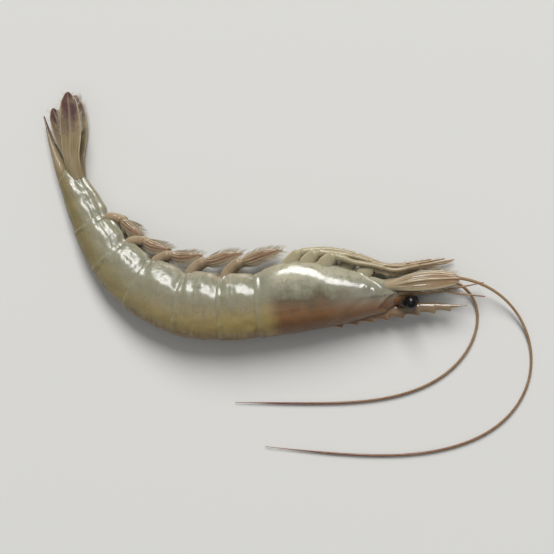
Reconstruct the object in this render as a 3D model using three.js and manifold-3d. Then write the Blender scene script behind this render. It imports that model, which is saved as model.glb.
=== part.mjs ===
// A raw prawn lying on its right side, head towards +X and tail curled towards +Y.
// Units are millimetres, +Z is up, and the origin is the middle of the bounding box at floor level.
//
// Every piece is placed in body coordinates: s runs along the body from the rear edge of the head
// shell (positive to the tail), v is the height towards the back and u the height above the midplane.

import * as THREE from 'three';
import { mergeVertices } from 'three/addons/utils/BufferGeometryUtils.js';
import Module from 'manifold-3d';

const wasm = await Module();
wasm.setup();

// Lengths along the body
const HEAD_SHELL_LENGTH = 30;
const SNOUT_LENGTH = 3;
const RING_LENGTHS = [8.5, 9.5, 10.5, 9, 8.5, 13];

// The curl of the body: where the head shell points, and how far it turns at each joint, in degrees
const HEAD_HEADING = 185;
const JOINT_BENDS = [2, 9, 19, 18, 14, 6, 7];
const JOINT_REACH = 4.5;

// How the shell plates nest: lip thickness, how far the next ring reaches under it, and the clearance
const LIP = 0.5;
const NECK = 1.2;
const GAP = 0.3;
const LIP_ROUNDING = 0.05;
const RING_TAPER = [[0.2, 0.18], [0.45, 0], [0.72, 0], [0.87, 0]];
const SHOULDER_DROP = 0.45;
const LAST_RING_END = [[0.95, 0.12], [1, 0.75]];
const SCALLOP = 0.7;
const SCALLOP_REACH = 2.4;

// Body outline as [s, size] stations: back and belly half depths, half width, height of the midplane.
// The midplane is a little lower than the half width, so the underside is pressed flat on the floor.
const BACK_DEPTH = profile([
  [-33, 1.5], [-30, 4.0], [-26, 5.0], [-20, 6.1], [-12, 7.1], [0, 7.9], [12, 8.3], [22, 8.0],
  [32, 7.1], [41, 6.0], [47, 5.1], [59, 3.3], [80, 2.8],
]);
const BELLY_DEPTH = profile([
  [-33, 1.4], [-30, 3.2], [-24, 5.8], [-18, 8.0], [-12, 9.2], [-6, 9.0], [0, 7.9], [12, 8.0], [22, 7.7],
  [32, 6.8], [41, 5.8], [47, 4.9], [59, 3.2], [80, 2.7],
]);
const HALF_WIDTH = profile([
  [-33, 1.4], [-30, 3.2], [-26, 4.3], [-20, 5.3], [-12, 6.1], [0, 6.4], [12, 6.4], [22, 6.2],
  [32, 5.5], [41, 4.7], [47, 4.0], [59, 2.8], [80, 2.4],
]);
const MIDPLANE = profile([
  [-60, 4.4], [-30, 5.0], [-12, 5.75], [0, 6.05], [12, 6.05], [22, 5.85], [32, 5.15],
  [41, 4.45], [47, 4.0], [59, 3.5], [80, 3.4],
]);
const BACK_ROUNDNESS = 2.0;
const BELLY_ROUNDNESS = 2.4;
const SECTION_SIDES = 24;
const HEAD_SECTIONS = 15;
const HEAD_SECTION_CROWDING = 1.6;
const BODY_SECTIONS = 48;
const AXIS_STEPS = 60;
const WELD = 1e-4;

// Rostrum: the toothed spike that runs forward from the ridge of the head shell
const ROSTRUM_START = 15;
const ROSTRUM_TIP = 46;
const ROSTRUM_TIP_HEIGHT = 4.6;
const ROSTRUM_SWEEP = 0.8;
const ROSTRUM_DEPTH = 2.6;
const ROSTRUM_UNDERSIDE = 31;
const ROSTRUM_SWELL = 8;
const ROSTRUM_SINK = 1.6;
const ROSTRUM_THICKNESS = 1.1;
const ROSTRUM_TEETH = 8;
const TOOTH_HEIGHT = 0.75;
const TOOTH_FOOT = 0.25;
const TOOTH_POINT = 0.9;

// Limb paths are [forward of the head shell's rear edge, v, u] on the head, and
// [behind the last ring, v, u] on the tail. Half sizes run from the root, 0, to the tip, 1.
const BLADE_HALF_THICKNESS = 0.32;
const EYE_FOOT = [30.6, 1.9, 1.2];
const EYE_CENTRE = [33.9, 2.75, 3.05];
const EYE_RADIUS = 1.55;
const EYE_STALK_RADIUS = 0.85;
const EYE_SIDES = 12;
const EYE_ARC_STEPS = 7;
const SCALE_PATH = [[29.5, -1.3, 2.8], [37.5, -1.8, 3.4], [45, -1.5, 3.2]];
const SCALE_HALF_WIDTH = profile([[0, 1.05], [0.35, 2.0], [0.65, 2.1], [0.9, 1.3], [1, 0.5]]);
const SCALE_HALF_THICKNESS = profile([[0, 0.5], [0.4, BLADE_HALF_THICKNESS], [1, 0.22]]);

// Feelers: the turns are how far a long feeler has turned, in degrees, at each length along it
const SHORT_FEELER_PATH = [[31, 0.4, 1.1], [37, 0.5, 1.25], [42, 0.7, 1.3]];
const SHORT_FEELER_RADIUS = profile([[0, 0.9], [0.7, 0.8], [1, 0.55]]);
const SHORT_FEELER_FORKS = [
  [[41.4, 0.9, 1.3], [45, 1.9, 1.35], [50, 2.9, 1.5]],
  [[41.4, 0.6, 1.3], [45, 0.35, 1.35], [50, -0.2, 1.5]],
];
const FORK_RADIUS = profile([[0, 0.28], [1, 0.15]]);
const LONG_FEELER_PATH = [[30.5, -1.9, 1.15], [37, -2.3, 1.25]];
const LONG_FEELER_STALK = 6.5;
const LONG_FEELER_STALK_RADIUS = 0.9;
const LONG_FEELER_RADIUS = 0.42;
const LONG_FEELER_TIP_RADIUS = 0.2;
const LONG_FEELER_STRIDE = 3;
const LONG_FEELERS = {
  left: { sink: 34, turns: [[0, 0], [8, 14], [26, 70], [60, 165], [105, 190]] },
  right: { sink: 17, turns: [[0, 0], [6, 25], [20, 110], [45, 172], [81, 185]] },
};
const FLOOR_CLEARANCE = 0.12;

// Walking legs: each runs forward close to the belly, then fans out to pass the legs in front of it
const LEG_PAIRS = 5;
const LEG_HIP_FRONT = 22.5;
const LEG_HIP_SPACING = 4.1;
const LEG_HIP_SINK = 2.2;
const LEG_KNEE = 3.5;
const LEG_TIPS = [38, 41, 44, 42, 39];
const LEG_LANE = 0.3;
const LEG_FANS = [0, 0.35, 0.7, 1.3, 1.7];
const LEG_FAN_STARTS = [24, 24, 22, 15, 11];
const LEG_FAN_RUN = 5.5;
const LEG_SPREADS = [2.5, 1.5, 3.5];
const LEG_LIFT = 0.09;
const LEG_STRIDES = 6;
const LEG_HALF_HEIGHT = profile([[0, 0.46], [0.3, 0.45], [0.7, 0.4], [1, 0.18]]);
// Half widths of the plump leg base, by shares of the way from hip to knee, then of the whole leg
const LEG_BASE = [[0, 1.5], [0.45, 1.5], [0.8, 0.85], [1.25, 0.5]];
const LEG_SHAFT = [[0.5, 0.45], [0.8, 0.3], [1, 0.16]];
const MOUTH_LEG_ROOT = 25.5;
const MOUTH_LEG_SINK = 1.4;
const MOUTH_LEG_STATIONS = [28.5, 34, 41];
const MOUTH_LEG_LANE = 0.45;
const MOUTH_LEG_SPREAD = 0.52;
const MOUTH_LEG_RADIUS = profile([[0, 0.45], [0.3, 0.44], [0.7, 0.36], [1, 0.18]]);

// Swimmerets: paths are shares of the length forward and of the drop below the belly, then mm outwards
const SWIMMERET_PAIRS = 5;
const SWIMMERET_PLACE = 0.78;
const SWIMMERET_SPREAD = 2.5;
const SWIMMERET_LENGTH = 12.5;
const SWIMMERET_DROP = 3.4;
const PADDLE_PATH = [[-0.04, -0.4, 0], [0.15, 0.24, 0.1], [0.42, 0.54, 0.3], [0.75, 0.85, 0.4], [1, 1, 0.3]];
const PADDLE_HALF_WIDTH = profile([[0, 1.1], [0.35, 0.95], [0.65, 0.9], [1, 0.2]]);
const PADDLE_HALF_HEIGHT = profile([[0, 1], [0.35, 0.95], [0.65, 0.5], [1, 0.2]]);
const BRANCH_PATH = [[0.15, 0.15, -0.4], [0.4, 0.34, -0.8], [0.72, 0.52, -0.9]];
const BRANCH_HALF_WIDTH = profile([[0, 0.5], [0.5, 0.75], [1, 0.2]]);
const BRANCH_HALF_HEIGHT = profile([[0, 0.5], [0.5, 0.35], [1, 0.2]]);

// Tail fan
const TELSON_PATH = [[-1, 1.65, 0], [7.25, 1.6, 0], [14.5, 1.3, 0]];
const TELSON_HALF_HEIGHT = profile([[0, 1.6], [0.15, 1.7], [0.7, 1.1], [1, 0.25]]);
const TELSON_HALF_THICKNESS = profile([[0, 1.7], [0.15, 1.6], [0.5, 0.9], [1, 0.25]]);
const INNER_BLADE_PATH = [[-0.9, -1.4, 0.44], [3.5, -1.7, 0.9], [7.5, -1.8, 1.45], [15, -1.7, 1.7]];
const INNER_BLADE_HALF_WIDTH = 2;
const OUTER_BLADE_PATH = [[-1, -1.45, 1.8], [3, -2.2, 2.1], [8.5, -4.2, 2.6], [17, -6.6, 2.8]];
const OUTER_BLADE_HALF_WIDTH = 2.5;
const BLADE_LEAF = profile([[0, 0.62], [0.2, 0.72], [0.6, 1], [0.86, 0.76], [1, 0.24]]);
const INNER_BLADE_THICKNESS = profile([[0, 0.36], [0.35, BLADE_HALF_THICKNESS], [1, 0.22]]);
const OUTER_BLADE_THICKNESS = profile([[0, 0.85], [0.16, 0.85], [0.3, 0.45], [0.45, BLADE_HALF_THICKNESS],
  [1, 0.22]]);

const SHELL = finish(0x8c8a6c, 0.25);
const RING_SHELL = finish(0x85856a, 0.25);
const TAIL = finish(0x6b4a38, 0.35);
const LIMB = finish(0xb3a27c, 0.4);
const SWIMMERET = finish(0x9d7f62, 0.45);
const FEELER = finish(0x7d4a34, 0.4);
const EYE = finish(0x14110f, 0.15);

const prawn = new THREE.Group();
prawn.name = 'prawn';
const clearance = solid(clearanceSkin());
buildHeadShell();
buildRings();
buildTailFan();
buildEyes();
buildScales();
buildFeelers();
buildWalkingLegs();
buildMouthLegs();
buildSwimmerets();
centreOnFloor();

export default prawn;

// Shared helpers

function finish(color, roughness) {
  return new THREE.MeshStandardMaterial({ color, roughness, metalness: 0 });
}

function addPiece(name, geometry, material) {
  const mesh = new THREE.Mesh(geometry, material);
  mesh.name = name;
  prawn.add(mesh);
}

// A smooth curve through [position, value] stations, level at its ends.
function profile(stations) {
  const slope = (i) => {
    if (i === 0 || i === stations.length - 1) return 0;
    const [x0, y0] = stations[i - 1];
    const [x1, y1] = stations[i + 1];
    return (y1 - y0) / (x1 - x0);
  };
  return (x) => {
    const last = stations.length - 1;
    if (x <= stations[0][0]) return stations[0][1];
    if (x >= stations[last][0]) return stations[last][1];
    const i = stations.findIndex((station) => station[0] > x) - 1;
    const [x0, y0] = stations[i];
    const [x1, y1] = stations[i + 1];
    const span = x1 - x0;
    const t = (x - x0) / span;
    const rise = t * t * (3 - 2 * t);
    const start = t * (1 - t) * (1 - t) * span * slope(i);
    const end = t * t * (t - 1) * span * slope(i + 1);
    return y0 + (y1 - y0) * rise + start + end;
  };
}

// Where ring number `index` starts; index 6 is the rear end of the last ring.
function jointAt(index) {
  return RING_LENGTHS.slice(0, index).reduce((sum, length) => sum + length, 0);
}

// Direction of the body towards the tail, turning smoothly at each joint.
function heading(s) {
  const turned = JOINT_BENDS.reduce((sum, bend, index) => {
    const joint = jointAt(index);
    return sum + bend * THREE.MathUtils.smoothstep(s, joint - JOINT_REACH, joint + JOINT_REACH);
  }, 0);
  return THREE.MathUtils.degToRad(HEAD_HEADING - turned);
}

function axisPoint(s) {
  const step = s / AXIS_STEPS;
  const point = new THREE.Vector2();
  for (let i = 0; i < AXIS_STEPS; i++) {
    const angle = heading((i + 0.5) * step);
    point.x += Math.cos(angle) * step;
    point.y += Math.sin(angle) * step;
  }
  return point;
}

// A point in body coordinates, kept above the floor.
function place(s, v, u) {
  const axis = axisPoint(s);
  const angle = heading(s);
  const x = axis.x - Math.sin(angle) * v;
  const y = axis.y + Math.cos(angle) * v;
  return new THREE.Vector3(x, y, Math.max(MIDPLANE(s) + u, 0));
}

// The belly edge of the side plates, scalloped at each joint.
function bellyEdge(s) {
  const nearest = Math.min(...JOINT_BENDS.map((bend, index) => Math.abs(s - jointAt(index))));
  return BELLY_DEPTH(s) - SCALLOP * (1 - THREE.MathUtils.smoothstep(nearest, 0, SCALLOP_REACH));
}

// A point on the shell, `angle` round the section from the ridge of the back, `inset` below the surface.
function shellPoint(s, angle, inset) {
  const towardsBack = Math.cos(angle);
  const sideways = Math.sin(angle);
  const onBack = towardsBack > 0;
  const power = 2 / (onBack ? BACK_ROUNDNESS : BELLY_ROUNDNESS);
  const depth = (onBack ? BACK_DEPTH(s) : bellyEdge(s)) - inset;
  const width = HALF_WIDTH(s) - inset;
  const v = depth * Math.sign(towardsBack) * Math.abs(towardsBack) ** power;
  const u = width * Math.sign(sideways) * Math.abs(sideways) ** power;
  return place(s, v, u);
}

function shellSection(s, inset) {
  const section = [];
  for (let i = 0; i < SECTION_SIDES; i++) {
    section.push(shellPoint(s, (i / SECTION_SIDES) * 2 * Math.PI, inset));
  }
  return section;
}

// A closed skin over a row of sections that all have the same number of points.
function loft(sections) {
  const sides = sections[0].length;
  const points = sections.flat();
  const faces = [];
  for (let row = 0; row < sections.length - 1; row++) {
    for (let i = 0; i < sides; i++) {
      const a = row * sides + i;
      const b = row * sides + ((i + 1) % sides);
      faces.push(a, a + sides, b, b, a + sides, b + sides);
    }
  }
  const lastRow = (sections.length - 1) * sides;
  points.push(middle(sections[0]), middle(sections[sections.length - 1]));
  for (let i = 0; i < sides; i++) {
    const next = (i + 1) % sides;
    faces.push(points.length - 2, i, next);
    faces.push(points.length - 1, lastRow + next, lastRow + i);
  }
  return outward(indexed(points, faces));
}

function middle(points) {
  const sum = new THREE.Vector3();
  points.forEach((point) => sum.add(point));
  return sum.divideScalar(points.length);
}

function indexed(points, faces) {
  const geometry = new THREE.BufferGeometry().setFromPoints(points);
  geometry.setIndex(faces);
  return geometry;
}

// Turns a closed skin so that its faces point out.
function outward(geometry) {
  const position = geometry.getAttribute('position');
  const faces = geometry.getIndex().array;
  const corner = (i) => new THREE.Vector3().fromBufferAttribute(position, faces[i]);
  let volume = 0;
  for (let i = 0; i < faces.length; i += 3) {
    volume += corner(i).dot(corner(i + 1).cross(corner(i + 2)));
  }
  if (volume < 0) {
    for (let i = 0; i < faces.length; i += 3) {
      [faces[i + 1], faces[i + 2]] = [faces[i + 2], faces[i + 1]];
    }
  }
  return geometry;
}

// A limb along a path: an oval section of the given half width and half thickness at each step.
// It is wide along the floor, or along Z where it is upright.
function limb(points, { width, thickness = width, upright = false, sides, steps }) {
  const path = new THREE.CatmullRomCurve3(points, false, 'centripetal');
  const up = new THREE.Vector3(0, 0, 1);
  const sections = [];
  for (let i = 0; i <= steps; i++) {
    const t = i / steps;
    const centre = path.getPointAt(t);
    const along = path.getTangentAt(t);
    const level = new THREE.Vector3().crossVectors(along, up).normalize();
    const steep = new THREE.Vector3().crossVectors(level, along);
    const [across, through] = upright ? [steep, level] : [level, steep];
    const section = [];
    for (let k = 0; k < sides; k++) {
      const angle = (k / sides) * 2 * Math.PI;
      const point = centre.clone();
      point.addScaledVector(across, Math.cos(angle) * width(t));
      point.addScaledVector(through, Math.sin(angle) * thickness(t));
      point.z = Math.max(point.z, 0);
      section.push(point);
    }
    sections.push(section);
  }
  return loft(sections);
}

function solid(geometry) {
  const bare = geometry.clone();
  bare.deleteAttribute('normal');
  bare.deleteAttribute('uv');
  const merged = mergeVertices(bare, WELD);
  return new wasm.Manifold(new wasm.Mesh({
    numProp: 3,
    vertProperties: new Float32Array(merged.getAttribute('position').array),
    triVerts: new Uint32Array(merged.getIndex().array),
  }));
}

// Fuses closed skins into one.
function fuse(...geometries) {
  return skinOf(geometries.map(solid).reduce((sum, next) => sum.add(next)));
}

// Fuses the skins of a limb whose root is sunk in the body, and cuts it off just clear of the shell.
function rooted(...geometries) {
  return skinOf(solid(fuse(...geometries)).subtract(clearance));
}

// The whole body, larger by the clearance that its limbs keep.
function clearanceSkin() {
  const front = -(HEAD_SHELL_LENGTH + SNOUT_LENGTH);
  const rear = jointAt(RING_LENGTHS.length);
  const sections = [shellSection(front - GAP, -GAP)];
  for (let i = 0; i <= BODY_SECTIONS; i++) {
    sections.push(shellSection(THREE.MathUtils.lerp(front, rear, i / BODY_SECTIONS), -GAP));
  }
  sections.push(shellSection(rear + GAP, -GAP));
  return loft(sections);
}

function skinOf(shape) {
  const mesh = shape.getMesh();
  const geometry = new THREE.BufferGeometry();
  geometry.setAttribute('position', new THREE.BufferAttribute(mesh.vertProperties, 3));
  geometry.setIndex(new THREE.BufferAttribute(mesh.triVerts, 1));
  return geometry;
}

// The straight head, `forward` of the rear edge of its shell.
function inHead(forward, v, u) {
  return place(-forward, v, u);
}

// Limb paths on the head and behind the last ring, on the left side (sign 1) or the right (-1)
function headPath(path, sign) {
  return path.map(([forward, v, u]) => inHead(forward, v, sign * u));
}

function tailPath(path, sign) {
  const root = jointAt(RING_LENGTHS.length);
  return path.map(([behind, v, u]) => place(root + behind, v, sign * u));
}

function bothSides(build) {
  build('left', 1);
  build('right', -1);
}

// Head shell with its rostrum

function buildHeadShell() {
  const front = -(HEAD_SHELL_LENGTH + SNOUT_LENGTH);
  const sections = [];
  for (let i = 0; i < HEAD_SECTIONS; i++) {
    sections.push(shellSection(front * (1 - (i / HEAD_SECTIONS) ** HEAD_SECTION_CROWDING), 0));
  }
  sections.push(...rearLip(0));
  addPiece('head_shell', fuse(loft(sections), rostrum()), SHELL);
}

// The rear edge of a shell plate, turned in and hollowed to cover the neck of the ring behind it.
function rearLip(joint) {
  const floor = joint - NECK - GAP;
  return [shellSection(joint, LIP_ROUNDING), shellSection(joint, LIP), shellSection(floor, LIP)];
}

function rostrum() {
  const span = ROSTRUM_TIP - ROSTRUM_START;
  const pitch = span / (ROSTRUM_TEETH + 1);
  const rootHeight = BACK_DEPTH(-ROSTRUM_START);
  const ridge = (f) => {
    const share = (f - ROSTRUM_START) / span;
    return THREE.MathUtils.lerp(rootHeight, ROSTRUM_TIP_HEIGHT, share ** ROSTRUM_SWEEP);
  };
  const outline = new THREE.Shape();
  outline.moveTo(ROSTRUM_START, rootHeight - ROSTRUM_SINK);
  for (let tooth = 0; tooth < ROSTRUM_TEETH; tooth++) {
    const root = ROSTRUM_START + tooth * pitch;
    const foot = root + TOOTH_FOOT * pitch;
    const point = root + TOOTH_POINT * pitch;
    outline.lineTo(foot, ridge(foot));
    outline.lineTo(point, ridge(point) + TOOTH_HEIGHT);
    outline.lineTo(root + pitch, ridge(root + pitch));
  }
  outline.lineTo(ROSTRUM_TIP, ROSTRUM_TIP_HEIGHT);
  const swell = ROSTRUM_UNDERSIDE + ROSTRUM_SWELL;
  const underside = ridge(ROSTRUM_UNDERSIDE) - ROSTRUM_DEPTH;
  outline.quadraticCurveTo(swell, ridge(swell) - ROSTRUM_SINK, ROSTRUM_UNDERSIDE, underside);
  const blade = new THREE.ExtrudeGeometry(outline, {
    depth: ROSTRUM_THICKNESS, steps: 1, curveSegments: 4, bevelEnabled: false,
  });
  blade.translate(0, 0, -ROSTRUM_THICKNESS / 2);
  return inHeadFrame(blade);
}

// Moves a shape drawn as (forward, towards the back, up) into the head.
function inHeadFrame(geometry) {
  const position = geometry.getAttribute('position');
  for (let i = 0; i < position.count; i++) {
    const point = inHead(position.getX(i), position.getY(i), position.getZ(i));
    position.setXYZ(i, point.x, point.y, point.z);
  }
  geometry.deleteAttribute('normal');
  geometry.deleteAttribute('uv');
  return outward(mergeVertices(geometry, WELD));
}

// Abdomen rings, each reaching under the plate in front of it

function buildRings() {
  RING_LENGTHS.forEach((length, index) => {
    const start = jointAt(index);
    const at = ([share, inset]) => shellSection(start + share * length, inset);
    const sections = [
      shellSection(start - NECK, LIP + GAP),
      shellSection(start + GAP, LIP + GAP),
      shellSection(start + GAP, SHOULDER_DROP),
      ...RING_TAPER.map(at),
    ];
    const isLast = index === RING_LENGTHS.length - 1;
    sections.push(...(isLast ? LAST_RING_END.map(at) : rearLip(start + length)));
    addPiece(`abdomen_ring_${index + 1}`, loft(sections), RING_SHELL);
  });
}

// Tail fan: the telson spike and two blades on each side, on thick roots

function buildTailFan() {
  addPiece('telson', rooted(limb(tailPath(TELSON_PATH, 1), {
    width: TELSON_HALF_HEIGHT, thickness: TELSON_HALF_THICKNESS, upright: true, sides: 10, steps: 8,
  })), TAIL);
  bothSides((side, sign) => {
    const inner = tailBlade(tailPath(INNER_BLADE_PATH, sign), INNER_BLADE_HALF_WIDTH, INNER_BLADE_THICKNESS);
    const outer = tailBlade(tailPath(OUTER_BLADE_PATH, sign), OUTER_BLADE_HALF_WIDTH, OUTER_BLADE_THICKNESS);
    addPiece(`tail_blade_inner_${side}`, inner, TAIL);
    addPiece(`tail_blade_outer_${side}`, outer, TAIL);
  });
}

function tailBlade(points, halfWidth, thickness) {
  const width = (t) => halfWidth * BLADE_LEAF(t);
  return rooted(limb(points, { width, thickness, sides: 10, steps: 10 }));
}

// Eyes: a ball on a short stalk that comes out beside the rostrum

function buildEyes() {
  bothSides((side, sign) => {
    const [foot, centre] = headPath([EYE_FOOT, EYE_CENTRE], sign);
    const stalkLength = centre.distanceTo(foot);
    const outline = [new THREE.Vector2(0, 0), new THREE.Vector2(EYE_STALK_RADIUS, 0)];
    const neck = Math.asin(EYE_STALK_RADIUS / EYE_RADIUS);
    for (let i = 0; i <= EYE_ARC_STEPS; i++) {
      const angle = THREE.MathUtils.lerp(neck, Math.PI, i / EYE_ARC_STEPS);
      const radius = i === EYE_ARC_STEPS ? 0 : EYE_RADIUS * Math.sin(angle);
      outline.push(new THREE.Vector2(radius, stalkLength - EYE_RADIUS * Math.cos(angle)));
    }
    const lean = centre.clone().sub(foot).normalize();
    const turn = new THREE.Quaternion().setFromUnitVectors(new THREE.Vector3(0, 1, 0), lean);
    const eye = new THREE.LatheGeometry(outline, EYE_SIDES);
    eye.applyQuaternion(turn);
    eye.translate(foot.x, foot.y, foot.z);
    addPiece(`eye_${side}`, rooted(eye), EYE);
  });
}

// Antennal scales: broad leaves beside the mouth

function buildScales() {
  bothSides((side, sign) => {
    const scale = limb(headPath(SCALE_PATH, sign), {
      width: SCALE_HALF_WIDTH, thickness: SCALE_HALF_THICKNESS, sides: 10, steps: 7,
    });
    addPiece(`antennal_scale_${side}`, rooted(scale), LIMB);
  });
}

// Feelers: a short forked pair over a long whip-like pair

function buildFeelers() {
  bothSides((side, sign) => {
    const stalk = limb(headPath(SHORT_FEELER_PATH, sign), { width: SHORT_FEELER_RADIUS, sides: 8, steps: 5 });
    const forks = SHORT_FEELER_FORKS.map((path) => limb(headPath(path, sign), {
      width: FORK_RADIUS, sides: 6, steps: 4,
    }));
    addPiece(`short_feeler_${side}`, rooted(stalk, ...forks), FEELER);
    addPiece(`long_feeler_${side}`, longFeeler(sign, LONG_FEELERS[side]), FEELER);
  });
}

// A long feeler leaves the head on a thick stalk, then turns towards the back as it sinks to the floor
// over the length `sink`.
function longFeeler(sign, { sink, turns }) {
  const turned = profile(turns);
  const length = turns[turns.length - 1][0];
  const points = headPath(LONG_FEELER_PATH, sign);
  const start = points[1];
  const ahead = heading(-HEAD_SHELL_LENGTH) - Math.PI;
  const lowest = LONG_FEELER_RADIUS + FLOOR_CLEARANCE;
  const point = start.clone();
  for (let along = LONG_FEELER_STRIDE; along <= length; along += LONG_FEELER_STRIDE) {
    const angle = ahead - THREE.MathUtils.degToRad(turned(along - LONG_FEELER_STRIDE / 2));
    point.x += Math.cos(angle) * LONG_FEELER_STRIDE;
    point.y += Math.sin(angle) * LONG_FEELER_STRIDE;
    point.z = THREE.MathUtils.lerp(start.z, lowest, THREE.MathUtils.smoothstep(along, 0, sink));
    points.push(point.clone());
  }
  const whole = length + LONG_FEELER_STALK;
  const stalkEnd = LONG_FEELER_STALK / whole;
  const width = profile([[0, LONG_FEELER_STALK_RADIUS], [0.8 * stalkEnd, LONG_FEELER_STALK_RADIUS],
    [1.3 * stalkEnd, LONG_FEELER_RADIUS], [1, LONG_FEELER_TIP_RADIUS]]);
  return rooted(limb(points, { width, sides: 6, steps: Math.round(whole / LONG_FEELER_STRIDE) }));
}

// Walking legs folded forward under the head

function buildWalkingLegs() {
  for (let pair = 0; pair < LEG_PAIRS; pair++) {
    bothSides((side, sign) => {
      addPiece(`walking_leg_${pair + 1}_${side}`, walkingLeg(pair, sign), LIMB);
    });
  }
}

// The belly line under the head, carried on level past the snout.
function headBelly(forward) {
  return -BELLY_DEPTH(-Math.min(forward, HEAD_SHELL_LENGTH)) - GAP;
}

function walkingLeg(pair, sign) {
  const hip = LEG_HIP_FRONT - pair * LEG_HIP_SPACING;
  const spread = sign * LEG_SPREADS[pair % LEG_SPREADS.length];
  const inLane = (f) => {
    const start = LEG_FAN_STARTS[pair];
    const lane = LEG_LANE + LEG_FANS[pair] * THREE.MathUtils.smoothstep(f, start, start + LEG_FAN_RUN);
    const lift = LEG_LIFT * Math.max(0, f - HEAD_SHELL_LENGTH);
    return inHead(f, headBelly(f) - lane - lift, spread);
  };
  const points = [inHead(hip, headBelly(hip) + LEG_HIP_SINK, spread)];
  for (let i = 0; i <= LEG_STRIDES; i++) {
    points.push(inLane(THREE.MathUtils.lerp(hip + LEG_KNEE, LEG_TIPS[pair], i / LEG_STRIDES)));
  }
  const length = points.slice(1).reduce((sum, point, i) => sum + point.distanceTo(points[i]), 0);
  const knee = points[0].distanceTo(points[1]) / length;
  const width = profile([...LEG_BASE.map(([share, half]) => [share * knee, half]), ...LEG_SHAFT]);
  return rooted(limb(points, { width, thickness: LEG_HALF_HEIGHT, sides: 8, steps: 15 }));
}

// The pair of leg-like mouthparts between the walking legs

function buildMouthLegs() {
  bothSides((side, sign) => {
    const path = [[MOUTH_LEG_ROOT, headBelly(MOUTH_LEG_ROOT) + MOUTH_LEG_SINK, MOUTH_LEG_SPREAD]];
    MOUTH_LEG_STATIONS.forEach((f) => path.push([f, headBelly(f) - MOUTH_LEG_LANE, MOUTH_LEG_SPREAD]));
    const leg = limb(headPath(path, sign), { width: MOUTH_LEG_RADIUS, sides: 6, steps: 8 });
    addPiece(`mouth_leg_${side}`, rooted(leg), LIMB);
  });
}

// Swimmerets folded forward along the belly, each a paddle with a smaller inner branch

function buildSwimmerets() {
  for (let ring = 0; ring < SWIMMERET_PAIRS; ring++) {
    bothSides((side, sign) => {
      addPiece(`swimmeret_${ring + 1}_${side}`, swimmeret(ring, sign), SWIMMERET);
    });
  }
}

function swimmeret(ring, sign) {
  const root = jointAt(ring) + SWIMMERET_PLACE * RING_LENGTHS[ring];
  const size = HALF_WIDTH(root) / HALF_WIDTH(0);
  const along = ([share, drop, outwards]) => {
    const s = root - share * SWIMMERET_LENGTH * size;
    const v = -BELLY_DEPTH(root) - drop * SWIMMERET_DROP * size;
    return place(s, v, sign * (SWIMMERET_SPREAD * size + outwards));
  };
  const paddle = limb(PADDLE_PATH.map(along), {
    width: PADDLE_HALF_WIDTH, thickness: PADDLE_HALF_HEIGHT, sides: 8, steps: 8,
  });
  const branch = limb(BRANCH_PATH.map(along), {
    width: BRANCH_HALF_WIDTH, thickness: BRANCH_HALF_HEIGHT, sides: 6, steps: 4,
  });
  return rooted(paddle, branch);
}

// Puts the origin at the middle of the bounding box, on the floor.
function centreOnFloor() {
  const box = new THREE.Box3().setFromObject(prawn);
  const centre = box.getCenter(new THREE.Vector3());
  prawn.position.set(-centre.x, -centre.y, -box.min.z);
}
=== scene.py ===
"""A raw prawn lying on its right side, dressed for rendering.

Shapes are worked out in millimetres, in body coordinates, and become metres when a piece is made: s runs
along the body from the rear edge of the head shell, positive to the tail, v is the height towards the back
and u is the height above the midplane. Angles go round the body from the ridge of the back. Bumps are given
as (height, centre, reach), slopes as (height, from, to), and the fineness of a mesh as (rows, sides).
"""

import math

import bpy
import numpy as np
from bpy.props import FloatProperty, FloatVectorProperty, PointerProperty
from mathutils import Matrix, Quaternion, Vector


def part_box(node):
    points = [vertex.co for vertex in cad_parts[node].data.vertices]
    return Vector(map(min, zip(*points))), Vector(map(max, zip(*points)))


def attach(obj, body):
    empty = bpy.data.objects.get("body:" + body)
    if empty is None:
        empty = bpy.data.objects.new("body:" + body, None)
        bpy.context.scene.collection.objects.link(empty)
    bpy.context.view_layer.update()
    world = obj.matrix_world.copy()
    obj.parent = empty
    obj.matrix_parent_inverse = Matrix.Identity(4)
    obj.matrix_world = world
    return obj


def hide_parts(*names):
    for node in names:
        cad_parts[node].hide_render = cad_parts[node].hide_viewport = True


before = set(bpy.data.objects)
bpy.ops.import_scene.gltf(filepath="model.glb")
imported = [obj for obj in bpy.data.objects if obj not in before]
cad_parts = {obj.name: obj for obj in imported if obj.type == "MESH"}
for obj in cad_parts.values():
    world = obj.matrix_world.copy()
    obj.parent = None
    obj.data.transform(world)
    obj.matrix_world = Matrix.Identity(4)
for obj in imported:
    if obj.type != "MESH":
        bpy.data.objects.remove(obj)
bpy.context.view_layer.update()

bl_info = {
    "name": "Raw prawn",
    "version": (1, 0, 0),
    "blender": (4, 5, 0),
    "location": "View3D > Sidebar > Prawn",
    "description": "Builds a raw prawn lying on its side, piece by piece",
    "category": "Add Mesh",
}

MM = 0.001
TAU = 2.0 * math.pi
UPWARDS = (0.0, 0.0, 1.0)
SIDES = {"left": 1.0, "right": -1.0}
SHARP_ANGLE = math.radians(42.0)

# Lengths along the body and its curl, turned by so many degrees at each joint
HEAD_LENGTH = 30.0
SNOUT_LENGTH = 3.0
RING_LENGTHS = (8.5, 9.5, 10.5, 9.0, 8.5, 13.0)
JOINTS = np.concatenate(([0.0], np.cumsum(RING_LENGTHS)))
TAIL_ROOT = JOINTS[-1]
HEAD_HEADING = 185.0
JOINT_BENDS = (2.0, 9.0, 19.0, 18.0, 14.0, 6.0, 7.0)
JOINT_REACH = 4.5
AXIS_SPAN = (-64.0, 84.0)
AXIS_STEP = 0.02
SCALLOP = 0.7
SCALLOP_REACH = 2.4
BACK_ROUNDNESS = 2.0
BELLY_ROUNDNESS = 2.4


def eased(t):
    return t * t * (3.0 - 2.0 * t)


def smoothstep(x, low, high):
    return eased(np.clip((np.asarray(x, float) - low) / (high - low), 0.0, 1.0))


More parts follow.
